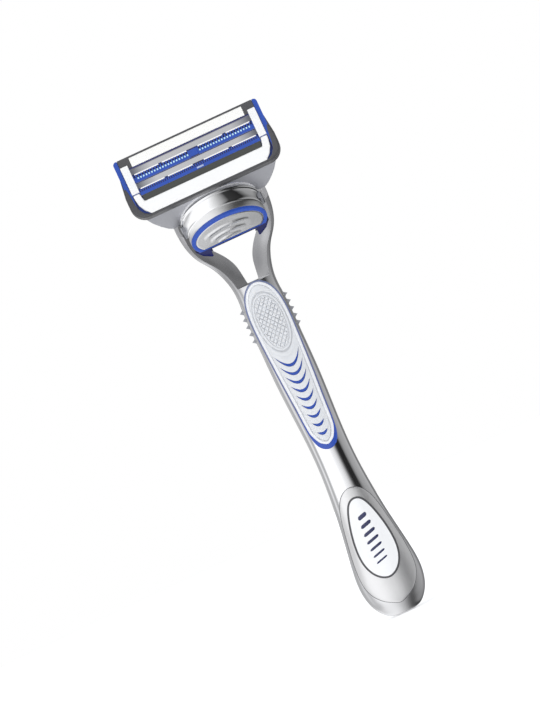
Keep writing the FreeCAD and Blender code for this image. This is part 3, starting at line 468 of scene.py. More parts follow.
def half_ring(st, xf, xb, na, nb, nc):
    """Right half of a section from the front middle to the back middle, in three stretches of even steps."""
    hw, hd, n = st[3:]
    t = np.linspace(0, math.pi, 721)
    x = hw * np.abs(np.sin(t)) ** (2 / n)
    d = hd * np.sign(np.cos(t)) * np.abs(np.cos(t)) ** (2 / n)
    arc = np.concatenate([[0], np.cumsum(np.hypot(np.diff(x), np.diff(d)))])
    top = int(np.argmax(x))
    lf = float(np.interp(min(xf, hw * 0.985), x[:top], arc[:top]))
    lb = float(np.interp(-min(xb, hw * 0.985), -x[top:], arc[top:]))
    ls = np.concatenate([np.linspace(0, lf, na + 1), np.linspace(lf, lb, nb + 1)[1:], np.linspace(lb, arc[-1], nc + 1)[1:]])
    return np.stack([np.interp(ls, arc, x), np.interp(ls, arc, d)], axis=-1)


def place(st, x, d):
    y, z, lean = st[0], st[1], math.radians(st[2])
    return (x, y - d * math.cos(lean), z - d * math.sin(lean))


def build_handle():
    NA, NB, NC, NW = 12, 44, 12, 14
    verts, faces = [], []

    def add(p):
        verts.append(p)
        return len(verts) - 1

    low_q = np.concatenate([np.linspace(0, PATH[6], 46)[:-1], np.linspace(PATH[6], SPLIT_Q, 190)])
    lows = stations_at(low_q)
    xf0, xb0 = 4.5, 1.45
    rings = []
    for st in lows:
        r = half_ring(st, xf0 * st[3] / 5.8, xb0 * st[3] / 5.8, NA, NB, NC)
        right = [place(st, x, d) for x, d in r]
        left = [place(st, -x, d) for x, d in r[-2:0:-1]]
        rings.append([add(p) for p in right + left])
    n = len(rings[0])
    for a, b in zip(rings, rings[1:]):
        for i in range(n):
            faces.append((a[i], a[(i + 1) % n], b[(i + 1) % n], b[i]))
    # round end
    c = add((0, lows[0][0], 0.0))
    mid = [add((verts[i][0] * 0.5, lows[0][0] + (verts[i][1] - lows[0][0]) * 0.5, 0.0)) for i in rings[0]]
    for i in range(n):
        faces.append((rings[0][i], mid[i], mid[(i + 1) % n], rings[0][(i + 1) % n]))
        faces.append((mid[i], c, mid[(i + 1) % n]))
    # fork arms, each a closed ring that starts on the shaft's last ring
    high_q = np.linspace(SPLIT_Q, PATH[-1], 90)
    highs = stations_at(high_q)
    last = rings[-1]
    half = len(half_ring(lows[-1], 4.5, 1.45, NA, NB, NC))
    mouth = {}
    rims = []
    for side in (1, -1):
        prev = None
        for k, (q, st) in enumerate(zip(high_q, highs)):
            xf = float(spline(FORK_Q, FORK_F, np.array(max(q, FORK_Q[0]))))
            xb = float(spline(FORK_Q, FORK_B, np.array(max(q, FORK_Q[0]))))
            r = half_ring(st, xf, xb, NA, NB, NC)
            outer = r[NA:NA + NB + 1]
            if k == 0:
                ids = [last[i] if side > 0 else last[(n - i) % n] for i in range(NA, NA + NB + 1)]
            else:
                ids = [add(place(st, side * x, d)) for x, d in outer]
            f, b = outer[0], outer[-1]
            inner = []
            for j in range(1, NW):
                t = j / NW
                bow = 0.55 * math.sin(math.pi * t) * min(1.0, k / 12.0)
                x = b[0] + (f[0] - b[0]) * t + bow
                inner.append(add(place(st, side * x, b[1] + (f[1] - b[1]) * t)))
            ring = ids + inner
            if k == 0:
                mouth[side] = [ids[-1]] + inner + [ids[0]]
            if prev:
                m = len(ring)
                for i in range(m):
                    faces.append((prev[i], prev[(i + 1) % m], ring[(i + 1) % m], ring[i]))
                rims += [(prev[0], ring[0]), (prev[NB], ring[NB])]
            prev = ring
        faces.append(tuple(prev))
        rims += [(prev[i], prev[(i + 1) % len(prev)]) for i in range(len(prev))]
    # floor between the arms
    front = [last[(n - i) % n] for i in range(NA, 0, -1)] + [last[i] for i in range(0, NA + 1)]
    h = half - 1
    back = [last[(h + i) % n] for i in range(NC, 0, -1)] + [last[(h - i) % n] for i in range(0, NC + 1)]
    grid = []
    for j in range(NW + 1):
        t = j / NW
        if j == 0:
            grid.append(front)
            continue
        if j == NW:
            grid.append(back)
            continue
        row = []
        for i in range(len(front)):
            if i == 0:
                row.append(mouth[-1][NW - j])
            elif i == len(front) - 1:
                row.append(mouth[1][NW - j])
            else:
                pf, pb = Vector(verts[front[i]]), Vector(verts[back[i]])
                row.append(add(tuple(pf.lerp(pb, t))))
        grid.append(row)
    for j in range(NW):
        for i in range(len(front) - 1):
            faces.append((grid[j][i], grid[j][i + 1], grid[j + 1][i + 1], grid[j + 1][i]))
    for row in (grid[0], grid[-1]):
        rims += list(zip(row, row[1:]))
    for col in (0, -1):
        rims += [(grid[j][col], grid[j + 1][col]) for j in range(NW)]
    me = bpy.data.meshes.new("handle_shell")
    me.from_pydata([Vector(v) * MM for v in verts], [], faces)
    bm = bmesh.new()
    bm.from_mesh(me)
    lay = bm.edges.layers.float.new("bevel_weight_edge")
    bm.verts.ensure_lookup_table()
    for a, b in rims:
        e = bm.edges.get((bm.verts[a], bm.verts[b]))
        if e:
            e[lay] = 1.0
    bmesh.ops.recalc_face_normals(bm, faces=bm.faces)
    bm.to_mesh(me)
    bm.free()
    finish_mesh(me, 38.0)
    o = bpy.data.objects.new("handle_shell", me)
    scene.collection.objects.link(o)
    me.materials.append(M["chrome"])
    bevel(o, 0.28, 3, weight=True)
    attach(o, "handle")
    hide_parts("handle_frame")
    return o


handle = build_handle()


# ------------------------------------------------------------------ pads laid on the handle's front
def outline(half, n=240):
    """Closed, even outline from (z, half width) rows, bottom to top, as an array of (x, z)."""
    rows = np.array(half, float)
    x = np.concatenate([rows[:, 1], -rows[::-1, 1][1:-1]])
    z = np.concatenate([rows[:, 0], rows[::-1, 0][1:-1]])
    pts = np.stack([x, z], axis=-1)
    m = len(pts)
    ext = np.vstack([pts[-4:], pts, pts[:5]])
    u = np.concatenate([[0], np.cumsum(np.hypot(*np.diff(ext, axis=0).T))])
    q = np.linspace(u[4], u[4 + m], 2400, endpoint=False)
    cx, cz = spline(u, ext[:, 0], q), spline(u, ext[:, 1], q)
    arc = np.concatenate([[0], np.cumsum(np.hypot(np.diff(np.append(cx, cx[0])), np.diff(np.append(cz, cz[0]))))])
    s = np.linspace(0, arc[-1], n, endpoint=False)
    out = np.stack([np.interp(s, arc, np.append(cx, cx[0])), np.interp(s, arc, np.append(cz, cz[0]))], axis=-1)
    k = np.arange(n)
    mirror = out[(-k) % n] * np.array([-1, 1])
    return (out + mirror) / 2


def shrink(pts, amount):
    t = np.roll(pts, -1, axis=0) - np.roll(pts, 1, axis=0)
    nrm = np.stack([-t[:, 1], t[:, 0]], axis=-1)
    nrm /= np.linalg.norm(nrm, axis=1, keepdims=True)
    c = pts.mean(axis=0)
    if np.mean(np.sum(nrm * (pts - c), axis=1)) > 0:
        nrm = -nrm
    am = np.asarray(amount)
    return pts + nrm * (am[:, None] if am.ndim else am)


def patch_rings(pts, za, zb, dists):
    """Rings of (x, z) that shrink from the outline to a line on the middle, at the given depths in from the edge."""
    axis = np.stack([np.zeros(len(pts)), np.clip(pts[:, 1], za, zb)], axis=-1)
    reach = np.linalg.norm(pts - axis, axis=1)
    rings = []
    for d in dists:
        lam = np.clip(1 - d / reach.max() if d < 0 else 1 - d / reach, 0, 1)
        rings.append(axis + (pts - axis) * np.atleast_1d(lam)[:, None])
    return rings, axis, reach


def pad(name, pts, za, zb, rise, sink, edge, mat, body, replaces=(), extra=None, inner=26, dome=0.0, angle=40.0):
    """A closed pad that follows the handle's front: rounded edge, flat or domed top, extra(x, z, depth) added to its height."""
    axis = np.stack([np.zeros(len(pts)), np.clip(pts[:, 1], za, zb)], axis=-1)
    reach = np.linalg.norm(pts - axis, axis=1)
    n = len(pts)
    verts, rings = [], []

    def put(ring, height):
        y = front_y(ring[:, 0], ring[:, 1]) - height
        base = len(verts)
        verts.extend([(float(a), float(b), float(c)) for a, b, c in zip(ring[:, 0], y, ring[:, 1])])
        rings.append(list(range(base, base + n)))

    put(axis, np.full(n, -sink))
    put(pts * 1.0, np.full(n, -sink))
    steps = [edge * (1 - math.cos(a)) for a in np.linspace(0, math.pi / 2, 6)]
    for d in steps:
        lam = np.clip(1 - d / reach, 0, 1)
        ring = axis + (pts - axis) * lam[:, None]
        h = rise - edge + edge * math.sqrt(max(0.0, 1 - (1 - d / edge) ** 2))
        put(ring, np.full(n, h) + (extra(ring[:, 0], ring[:, 1], np.full(n, d)) if extra else 0))
    for k in range(1, inner + 1):
        f = k / inner
        lam0 = np.clip(1 - edge / reach, 0, 1)
        lam = lam0 * (1 - f)
        ring = axis + (pts - axis) * lam[:, None]
        h = np.full(n, rise) + dome * (1 - (1 - f) ** 2)
        put(ring, h + (extra(ring[:, 0], ring[:, 1], (1 - lam) * reach) if extra else 0))
    faces = []
    for a, b in zip(rings, rings[1:]):
        for i in range(n):
            faces.append((a[i], a[(i + 1) % n], b[(i + 1) % n], b[i]))
    return make(name, verts, faces, mat, body, replaces, angle, merge=0.004)


GRIP = [(46.8, 0.0), (47.15, 1.3), (48.0, 2.35), (50.0, 3.3), (52.8, 3.8), (59.0, 4.2), (65.7, 4.65), (72.0, 5.0),
        (78.7, 5.3), (84.0, 5.42), (88.0, 5.15), (91.0, 4.4), (93.0, 3.25), (94.3, 1.75), (94.8, 0.0)]
PLATE = [(3.0, 0.0), (3.45, 1.5), (5.0, 4.2), (7.0, 6.0), (9.5, 7.1), (12.5, 7.45), (16.0, 7.3), (20.0, 6.8),
         (25.0, 6.0), (30.0, 4.95), (32.3, 4.1), (34.2, 2.75), (35.1, 1.4), (35.4, 0.0)]
BADGE = [(10.0, 0.0), (10.35, 1.5), (11.4, 3.0), (13.0, 4.2), (15.2, 5.05), (18.0, 5.4), (21.0, 5.25), (24.0, 4.8),
         (27.0, 4.1), (30.0, 3.1), (31.5, 2.3), (32.5, 1.2), (32.8, 0.0)]
THUMB = [(75.2, 0.0), (75.6, 1.3), (76.8, 2.5), (79.0, 3.45), (82.0, 3.95), (85.0, 4.0), (87.6, 3.6), (89.6, 2.65), (90.8, 1.3), (91.1, 0.0)]

grip_pts = outline(GRIP, 300)
base = pad("grip_base_shell", grip_pts, 51.5, 89.0, 0.55, 1.1, 0.3, "grip_blue", "handle", ("grip_base",))

# soft overlay: set in from the base, more at the bottom, with shingled swells between the crescents
inset = 0.40 + 0.95 * np.clip((52.5 - grip_pts[:, 1]) / 5.0, 0, 1) ** 1.2
over_pts = shrink(grip_pts, inset)
CRES = []
for k in range(9):
    CRES.append((70.9 - 2.46 * k, 3.55 - 2.1 * k / 8.0, 3.7 - 2.9 * (k / 8.0) ** 0.8, 0.86 - 0.06 * k / 8.0))


def crescent_phase(x, z):
    """How far up from each crescent to the next a point lies, 0 to 1, and how strongly the swell shows there."""
    out = np.zeros_like(x)
    for zc, hw, sag, th in CRES:
        bow = sag * (np.abs(x) / hw) ** 2.0
        ph = (z - (zc + bow)) / 2.46
        fade = np.clip(1.25 - np.abs(x) / (hw + 0.5), 0, 1)
        out += np.where((ph > 0) & (ph < 1), (0.5 - np.abs(ph - 0.22) * 0.64) * fade, 0)
    return out


def overlay_extra(x, z, depth):
    edge_in = np.clip(depth / 0.8, 0, 1)
    return -0.30 * np.clip((depth - 0.62) / 0.22, 0, 1)


overlay = pad("grip_overlay_shell", over_pts, 53.0, 88.5, 1.0, 0.1, 0.40, "overlay", "handle", ("grip_overlay",),
              extra=overlay_extra, inner=30, dome=0.0)


def field_extra(x, z, depth):
    rim = np.clip((z - 74.2) / 1.5, 0, 1)
    ring = (np.sqrt((x / 4.02) ** 2 + ((z - 83.2) / 8.0) ** 2) - 1) * 4.3
    groove = -0.22 * np.exp(-((ring - 0.16) / 0.22) ** 2)
    return 0.62 * crescent_phase(x, z) * np.clip(depth / 0.5, 0, 1) * (1 - rim) + groove * np.clip(depth / 0.15, 0, 1)


field_in = np.interp(grip_pts[:, 1], [46, 49, 52, 70, 76, 84, 96], [0.95, 0.9, 0.95, 1.0, 0.78, 0.62, 0.9])
field = pad("grip_overlay_field", shrink(over_pts, field_in), 54.0, 87.5, 0.98, -0.45, 0.2, "field", "handle", (),
            extra=field_extra, inner=44, dome=0.10)


def crescent_prism(zc, hw, sag, th, grow, y0, y1, name):
    xs = np.linspace(-1, 1, 41)
    lower = [(hw * t, zc + sag * t * t - (th / 2 + grow) * (1 - abs(t) ** 3.2)) for t in xs]
    upper = [(hw * t, zc + sag * t * t + (th / 2 + grow) * (1 - abs(t) ** 3.2)) for t in xs[::-1][1:-1]]
    ring = lower + upper
    verts = [(x, y0, z) for x, z in ring] + [(x, y1, z) for x, z in ring]
    n = len(ring)
    faces = [tuple(range(n - 1, -1, -1)), tuple(range(n, 2 * n))]
    faces += [(i, (i + 1) % n, n + (i + 1) % n, n + i) for i in range(n)]
    return verts, faces


def cutter(name, verts, faces):
    me = bpy.data.meshes.new(name)
    me.from_pydata([Vector(v) * MM for v in verts], [], faces)
    bm = bmesh.new()
    bm.from_mesh(me)
    bmesh.ops.triangulate(bm, faces=[f for f in bm.faces if len(f.verts) > 4])
    bmesh.ops.recalc_face_normals(bm, faces=bm.faces)
    bm.to_mesh(me)
    bm.free()
    o = bpy.data.objects.new(name, me)
    scene.collection.objects.link(o)
    return o


def carve(o, cut, operation="DIFFERENCE"):
    b = o.modifiers.new("cut", "BOOLEAN")
    b.operation = operation
    b.solver = "EXACT"
    b.object = cut
    bake_mods(o)
    bpy.data.objects.remove(cut)


vs, fs = [], []
for zc, hw, sag, th in CRES:
    v, f = crescent_prism(zc, hw, sag, th, 0.0, -12.0, 0.5, "c")
    off = len(vs)
    vs += v
    fs += [tuple(i + off for i in face) for face in f]
for ob in (overlay, field):
    carve(ob, cutter("crescent_cutter", vs, fs))
    tidy(ob)

# blue ribs that stand in the crescent windows
vs, fs = [], []
for zc, hw, sag, th in CRES:
    xs = np.linspace(-1, 1, 61)
    prof = [(-0.5, -0.9), (-0.5, 0.02), (-0.30, 0.10), (0.0, 0.13), (0.30, 0.10), (0.5, 0.02), (0.5, -0.9)]
    rows = []
    for t in xs:
        w = max(0.02, (th - 0.03) * (1 - abs(t) ** 3.2))
        row = []
        for a, h in prof:
            x = hw * 0.985 * t
            z = zc + sag * t * t + a * w
            y = float(front_y(np.array(x), np.array(z))) - (0.88 + h * min(1.0, w / 0.3) if h > -0.5 else -0.3)
            row.append((x, y, z))
        rows.append(row)
    off = len(vs)
    m = len(prof)
    for row in rows:
        vs += row
    for i in range(len(rows) - 1):
        for j in range(m):
            a = off + i * m + j
            b = off + i * m + (j + 1) % m
            fs.append((a, b, b + m, a + m))
    fs.append(tuple(off + j for j in range(m)))
    fs.append(tuple(off + (len(rows) - 1) * m + j for j in reversed(range(m))))
make("grip_base_crescents", vs, fs, "blue", "handle", (), 40)

# thumb pad: an oval with a raised border and a diamond knurl
thumb_pts = outline(THUMB, 520)


def thumb_extra(x, z, depth):
    p = 1.27
    u, v = (x + (z - 83) * 0.8) / p, (x - (z - 83) * 0.8) / p
    k = np.minimum(np.abs(np.cos(math.pi * u)), np.abs(np.cos(math.pi * v))) ** 0.8
    inside = np.clip((depth - 0.72) / 0.3, 0, 1)
    groove = -0.22 * np.exp(-((depth - 0.62) / 0.17) ** 2)
    return inside * (0.36 * k - 0.20) + groove


pad("grip_overlay_thumb_pad", thumb_pts, 79.2, 87.1, 1.24, -0.6, 0.24, "field", "handle", (),
    extra=thumb_extra, inner=110, dome=0.10)

# bulb: plate, ring, badge
plate_pts, badge_pts = outline(PLATE, 280), outline(BADGE, 260)
pad("end_plate_seam", shrink(plate_pts, -0.13), 10.5, 29.0, 0.05, 0.7, 0.04, "seam", "handle", (), inner=3)
pad("end_plate_shell", plate_pts, 10.5, 29.0, 0.26, 0.7, 0.16, "plate", "handle", ("end_plate",), inner=16)
pad("badge_ring_shell", badge_pts, 15.0, 28.5, 0.50, 0.6, 0.2, "dark", "handle", ("badge_ring",), inner=5)
pad("badge_dome", shrink(badge_pts, 0.5), 15.0, 28.5, 0.62, 0.5, 0.16, "badge_white", "handle", ("badge",), inner=22, dome=0.18)

# a plain mark of slanted bars in place of lettering
vs, fs = [], []
for k, (zc, half, wide) in enumerate(((27.4, 1.3, 1.15), (25.1, 1.55, 1.0), (22.9, 1.75, 0.9), (20.8, 1.85, 0.8), (18.8, 1.85, 0.7), (16.9, 1.8, 0.6), (15.1, 1.7, 0.5))):
    steps = 15
    rows = []
    for i in range(steps):
        t = i / (steps - 1)
        x = -half + 2 * half * t
        slope = 0.28 * x
        taper = math.sqrt(max(0.0, 1 - abs(2 * t - 1) ** 6)) * 0.92 + 0.08
        row = []
        for a, h in ((-0.5, -0.3), (-0.5, 0.035), (-0.4, 0.06), (0.4, 0.06), (0.5, 0.035), (0.5, -0.3)):
            z = zc + slope + a * wide * taper
            y = float(front_y(np.array(x), np.array(z))) - (0.765 + h)
            row.append((x, y, z))
        rows.append(row)
    off = len(vs)
    m = 6
    for row in rows:
        vs += row
    for i in range(steps - 1):
        for j in range(m):
            a, b = off + i * m + j, off + i * m + (j + 1) % m
            fs.append((a, b, b + m, a + m))
    fs.append(tuple(off + j for j in range(m)))
    fs.append(tuple(off + (steps - 1) * m + j for j in reversed(range(m))))
make("badge_bars", vs, fs, "mark", "handle", (), 30)

# ------------------------------------------------------------------ rear grip
vs, fs = [], []
zs = np.linspace(78.6, 90.2, 117)
NR = 61
rows = []
for z in zs:
    q = float(np.interp(z, DENSE[:, 1], DENSE_Q))
    st = stations_at([q])[0]
    tip = 0.0
    for k in range(5):
        tip = max(tip, 1 - abs(z - (80.2 + 2.02 * k)) / 0.66)
    tip = max(0.0, tip)
    rise = 0.04 + 0.90 * (tip ** 1.15)
    row = []
    for i in range(NR):
        t = math.pi * i / (NR - 1)
        a = -0.06 + (math.pi + 0.12) * i / (NR - 1)
        c, s = math.cos(a), math.sin(a)
        hw, hd, n = st[3] + rise, st[4] + rise, st[5]
        row.append((hw * math.copysign(abs(c) ** (2 / n), c), st[0] + hd * math.copysign(abs(s) ** (2 / n), s), z))
    back = []
    for i in range(NR - 1, -1, -1):
        a = -0.06 + (math.pi + 0.12) * i / (NR - 1)
        c, s = math.cos(a), math.sin(a)
        hw, hd, n = st[3] - 0.9, st[4] - 0.9, st[5]
        back.append((hw * math.copysign(abs(c) ** (2 / n), c), st[0] + hd * math.copysign(abs(s) ** (2 / n), s), z))
    rows.append(row + back)
m = len(rows[0])
for row in rows:
    vs += row
for i in range(len(rows) - 1):
    for j in range(m):
        a, b = i * m + j, i * m + (j + 1) % m
        fs.append((a, b, b + m, a + m))
fs.append(tuple(range(m)))
fs.append(tuple((len(rows) - 1) * m + j for j in reversed(range(m))))
make("rear_grip_shell", vs, fs, "ribs", "handle", ("rear_grip",), 50)


# ------------------------------------------------------------------ head
def cut_oval(a, b, low, narc, nline):
    t = math.asin(min(0.98, low / b))
    pts = [(a * math.cos(u), b * math.sin(u)) for u in np.linspace(-t, math.pi + t, narc)]
    x0, x1 = pts[-1][0], pts[0][0]
    pts += [(x0 + (x1 - x0) * k / nline, -low) for k in range(1, nline)]
    return pts


def stack(name, levels, mat, body, replaces, narc=120, nline=40, hole=False, angle=35.0):
    """A stack of cut ovals, each (a, b, low, d), joined into a closed solid or, with hole, a closed ring."""
    vs, fs, rings = [], [], []
    for a, b, low, d in levels:
        base = len(vs)
        pts = cut_oval(a, b, low, narc, nline)
        vs += [tuple(dock(x, s, d)) for x, s in pts]
        rings.append(list(range(base, base + len(pts))))
    n = len(rings[0])
    pairs = list(zip(rings, rings[1:]))
    if hole:
        pairs.append((rings[-1], rings[0]))
    for p, q in pairs:
        for i in range(n):
            fs.append((p[i], p[(i + 1) % n], q[(i + 1) % n], q[i]))
    if not hole:
        fs.append(tuple(rings[0]))
        fs.append(tuple(reversed(rings[-1])))
    return make(name, vs, fs, mat, body, replaces, angle)


A, B, LOW = 10.65, 5.9, 2.7
# hood: an open oval band with a lip at its back, slightly hollow wall
prof = [(0.5, -4.5), (0.5, -4.12), (0.40, -3.98), (0.08, -3.9), (-0.02, -3.75), (-0.10, -2.9), (-0.14, -1.9), (-0.10, -0.9), (-0.02, -0.1),
        (-0.02, 0.35), (-0.10, 0.52), (-0.25, 0.6), (-1.2, 0.6), (-1.2, -4.5)]
vs, fs = [], []
tt = math.asin(LOW / B) + 0.0
us = np.linspace(-tt, math.pi + tt, 161)
for u in us:
    x, s = A * math.cos(u), B * math.sin(u)
    nx, ns = math.cos(u) / A, math.sin(u) / B
    ln = math.hypot(nx, ns)
    nx, ns = nx / ln, ns / ln
    for off, d in prof:
        vs.append(tuple(dock(x + nx * off, max(-2.7, s + ns * off), d)))
m = len(prof)
for i in range(len(us) - 1):
    for j in range(m):
        a, b = i * m + j, i * m + (j + 1) % m
        fs.append((a, b, b + m, a + m))
fs.append(tuple(range(m)))
fs.append(tuple((len(us) - 1) * m + j for j in reversed(range(m))))
hood = make("dock_hood_shell", vs, fs, "hood", "handle", ("dock_hood",), 30)
for side in (-1, 1):
    vs = [tuple(dock(side * x, s, d)) for x in (9.9, 11.5) for s in (-1.3, 1.3) for d in (-3.4, -1.0)]
    fs = [(0, 1, 3, 2), (4, 6, 7, 5), (0, 4, 5, 1), (2, 3, 7, 6), (0, 2, 6, 4), (1, 5, 7, 3)]
    lug = make("dock_hood_lug_%s" % ("left" if side < 0 else "right"), vs, fs, "lug", "handle", (), 30)
    bevel(lug, 0.3, 3)

# button: satin cap with a rolled wall, blue ring, silver face with three ridges
stack("button_cap_shell", [(A - 0.25, B - 0.25, LOW - 0.25, 0.92), (A - 0.06, B - 0.06, LOW - 0.08, 1.02), (A, B, LOW, 1.25), (A + 0.0, B + 0.0, LOW, 2.2),
                           (A - 0.02, B - 0.02, LOW, 3.0), (A - 0.05, B - 0.05, LOW - 0.02, 3.4), (A - 0.16, B - 0.16, LOW - 0.1, 3.6)],
      "satin", "button", ("button_cap",))
R0, R1 = 0.10, 1.15
stack("button_ring_shell", [(A - R0, B - R0, LOW - 0.02, 3.55), (A - R0, B - R0, LOW - 0.02, 4.2), (A - R0 - 0.06, B - R0 - 0.06, LOW - 0.05, 4.38), (A - R0 - 0.22, B - R0 - 0.22, LOW - 0.09, 4.5),
                            (A - R1 + 0.14, B - R1 + 0.14, LOW - 0.2, 4.5), (A - R1 + 0.03, B - R1 + 0.03, LOW - 0.25, 4.42), (A - R1, B - R1, LOW - 0.27, 4.3), (A - R1, B - R1, LOW - 0.27, 3.55)],
      "blue", "button", ("button_ring",), hole=True)
# face
pts = np.array(cut_oval(A - R1 - 0.06, B - R1 - 0.06, LOW - 0.33, 200, 90))
axis = np.stack([np.zeros(len(pts)), np.zeros(len(pts)) + 0.9], axis=-1)
reach = np.linalg.norm(pts - axis, axis=1)
RIDGES = ((2.55, 0.031, 6.3, 0.42), (0.60, 0.034, 5.0, 0.42), (-1.20, 0.038, 3.2, 0.38))


def face_height(x, s, depth):
    h = 4.42 + 0.10 * np.clip(depth / 3.5, 0, 1)
    for s0, bow, half, wide in RIDGES:
        off = (s - (s0 - bow * x * x)) / wide
        prof = np.where(off > 0, np.exp(-(off / 0.7) ** 2), np.exp(-(off / 1.2) ** 2))
        h = h + 0.36 * prof * np.clip(np.minimum((half + 0.6 + x) / 1.6, (half - 0.6 - x) / 4.2), 0, 1)
    return h


vs, rings = [], []
n = len(pts)


def put(ring, hs):
    base = len(vs)
    vs.extend([tuple(dock(float(x), float(s), float(h))) for (x, s), h in zip(ring, hs)])
    rings.append(list(range(base, base + n)))


put(axis, np.full(n, 3.6))
put(pts, np.full(n, 3.6))
put(pts, np.full(n, 4.22))
for d in (0.04, 0.10, 0.18, 0.28):
    lam = np.clip(1 - d / reach, 0, 1)
    ring = axis + (pts - axis) * lam[:, None]
    put(ring, np.minimum(4.22 + 0.2 * math.sqrt(1 - (1 - d / 0.28) ** 2), 4.42) + 0 * lam)
for k in range(1, 61):
    lam0 = np.clip(1 - 0.28 / reach, 0, 1)
    lam = lam0 * (1 - k / 60)
    ring = axis + (pts - axis) * lam[:, None]
    put(ring, face_height(ring[:, 0], ring[:, 1], (1 - lam) * reach))
fs = []
for p, q in zip(rings, rings[1:]):
    for i in range(n):
        fs.append((p[i], p[(i + 1) % n], q[(i + 1) % n], q[i]))
make("button_plate_shell", vs, fs, "button", "button", ("button_plate",), 40, merge=0.004)

cad_piece("ejector", "blue", 0.15, "button", 2)


def coil(nodename, radius, wire, low, high, turns, d):
    """A round-wire compression spring along the dock's sliding axis."""
    vs, fs, sides = [], [], 10
    steps = int(turns * 28)
    pitch = (high - low - 2 * wire) / turns
    for i in range(steps + 1):
        a = 2 * math.pi * turns * i / steps
        c = Vector((radius * math.cos(a), low + wire + pitch * turns * i / steps, -radius * math.sin(a)))
        t = Vector((-math.sin(a) * radius, pitch / (2 * math.pi), -math.cos(a) * radius)).normalized()
        e1 = Vector((math.cos(a), 0, -math.sin(a)))
        e2 = t.cross(e1)
        for u in np.linspace(0, 2 * math.pi, sides, endpoint=False):
            q = c + (e1 * math.cos(u) + e2 * math.sin(u)) * wire
            vs.append(tuple(dock(q.x, q.y, q.z + d)))
    for i in range(steps):
        for j in range(sides):
            p, q = i * sides + j, i * sides + (j + 1) % sides
            fs.append((p, q, q + sides, p + sides))
    fs += [tuple(range(sides)), tuple(steps * sides + j for j in reversed(range(sides)))]
    ob = make(nodename + "_wire", vs, fs, "spring", "handle", (nodename,), 60)
    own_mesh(ob)
    return ob


coil("ejector_spring", 1.11, 0.19, 0.47, 4.53, 5, -1.8)
coil("plunger_spring", 0.62, 0.12, -5.93, 1.93, 9, -7.3)
cad_piece("plunger", "pin", 0.0, "plunger")
cad_piece("dock_body", "navy", 0.3, "handle", 3)
cad_piece("yoke", "yoke", 0.35, "yoke", 4)

# ------------------------------------------------------------------ cartridge
cad_piece("housing", "blue", 0.14, "cartridge", 2)
tidy(cad_piece("bumper", "rubber", 0.62, "cartridge", 4), 40)
cad_piece("front_strip", "strip", 0.38, "cartridge", 4)
cad_piece("guard_band", "band", 0.12, "cartridge", 2)
cad_piece("cap_frame", "dark", 0.1, "cartridge", 2)
cad_piece("cap_strip", "lube", 0.12, "cartridge", 2)
cad_piece("skin_guard", "blue", 0.06, "cartridge", 2)
cad_piece("clip_left", "clip", 0.1, "cartridge", 3)
cad_piece("clip_right", "clip", 0.1, "cartridge", 3)
for k in ("front", "rear"):
    cad_piece("blade_%s" % k, "blade", 0.0, "blade_%s" % k)
    cad_piece("blade_%s_support" % k, "support", 0.05, "blade_%s" % k, 2)


def boxes(name, items, mat, body, width=0.06, segs=2):
    """Small moulded blocks in the cartridge frame: (x0, x1, v0, v1, w0, w1)."""
    vs, fs = [], []
    for x0, x1, v0, v1, w0, w1 in items:
        o = len(vs)
        vs += [tuple(cart(x, v, w)) for x in (x0, x1) for v in (v0, v1) for w in (w0, w1)]
        fs += [tuple(o + i for i in f) for f in ((0, 1, 3, 2), (4, 6, 7, 5), (0, 4, 5, 1), (2, 3, 7, 6), (0, 2, 6, 4), (1, 5, 7, 3))]
    ob = make(name, vs, fs, mat, body, (), 30)
    bevel(ob, width, segs)
    return ob


boxes("housing_comb_shadow", [(-16.9, 16.9, 3.25, 3.97, 5.5, 5.72)], "navy", "cartridge", 0.05)
teeth = [(-16.5 + 0.6 * k - 0.15, -16.5 + 0.6 * k + 0.15, 3.3, 4.02, 5.6, 5.88) for k in range(56)]
boxes("housing_comb_teeth", teeth, "blue", "cartridge", 0.07)
# a row of pale studs, painted highlights for the glints on the comb's teeth
dots = [(s * (1.75 + 0.78 * k) - 0.2, s * (1.75 + 0.78 * k) + 0.2, 6.66, 7.14, 5.62, 5.84) for s in (-1, 1) for k in range(19)]
boxes("skin_guard_studs", dots, "stud_highlight", "cartridge", 0.09)
boxes("skin_guard_bracket", [(-1.05, 1.05, 5.98, 8.1, 5.5, 5.84)], "blue", "cartridge", 0.1, 3)
boxes("skin_guard_bracket_caps", [(-1.25, 1.25, 7.86, 8.16, 5.45, 5.92), (-1.2, 1.2, 5.9, 6.12, 5.45, 5.88), (-1.15, 1.15, 3.9, 4.1, 5.5, 5.88)], "navy", "cartridge", 0.06)
boxes("cap_frame_seam", [(-16.9, 16.9, 9.76, 10.08, 5.2, 5.97)], "navy", "cartridge", 0.05)
boxes("housing_tab", [(-0.95, 0.95, 2.62, 3.1, 5.62, 5.9)], "tab", "cartridge", 0.12, 3)


def plate_piece(name, pts, w0, w1, mat, width, mirror=True):
    """A flat moulded piece in the cartridge frame from an (x, v) outline, on each side."""
    for side in ((-1, 1) if mirror else (1,)):
        n = len(pts)
        vs = [tuple(cart(side * x, v, w)) for w in (w0, w1) for x, v in pts]
        fs = [tuple(range(n)), tuple(range(2 * n - 1, n - 1, -1))]
        fs += [(i, (i + 1) % n, n + (i + 1) % n, n + i) for i in range(n)]
        ob = make("%s_%s" % (name, "left" if side < 0 else "right"), vs, fs, mat, "cartridge", (), 30)
        bevel(ob, width, 3)


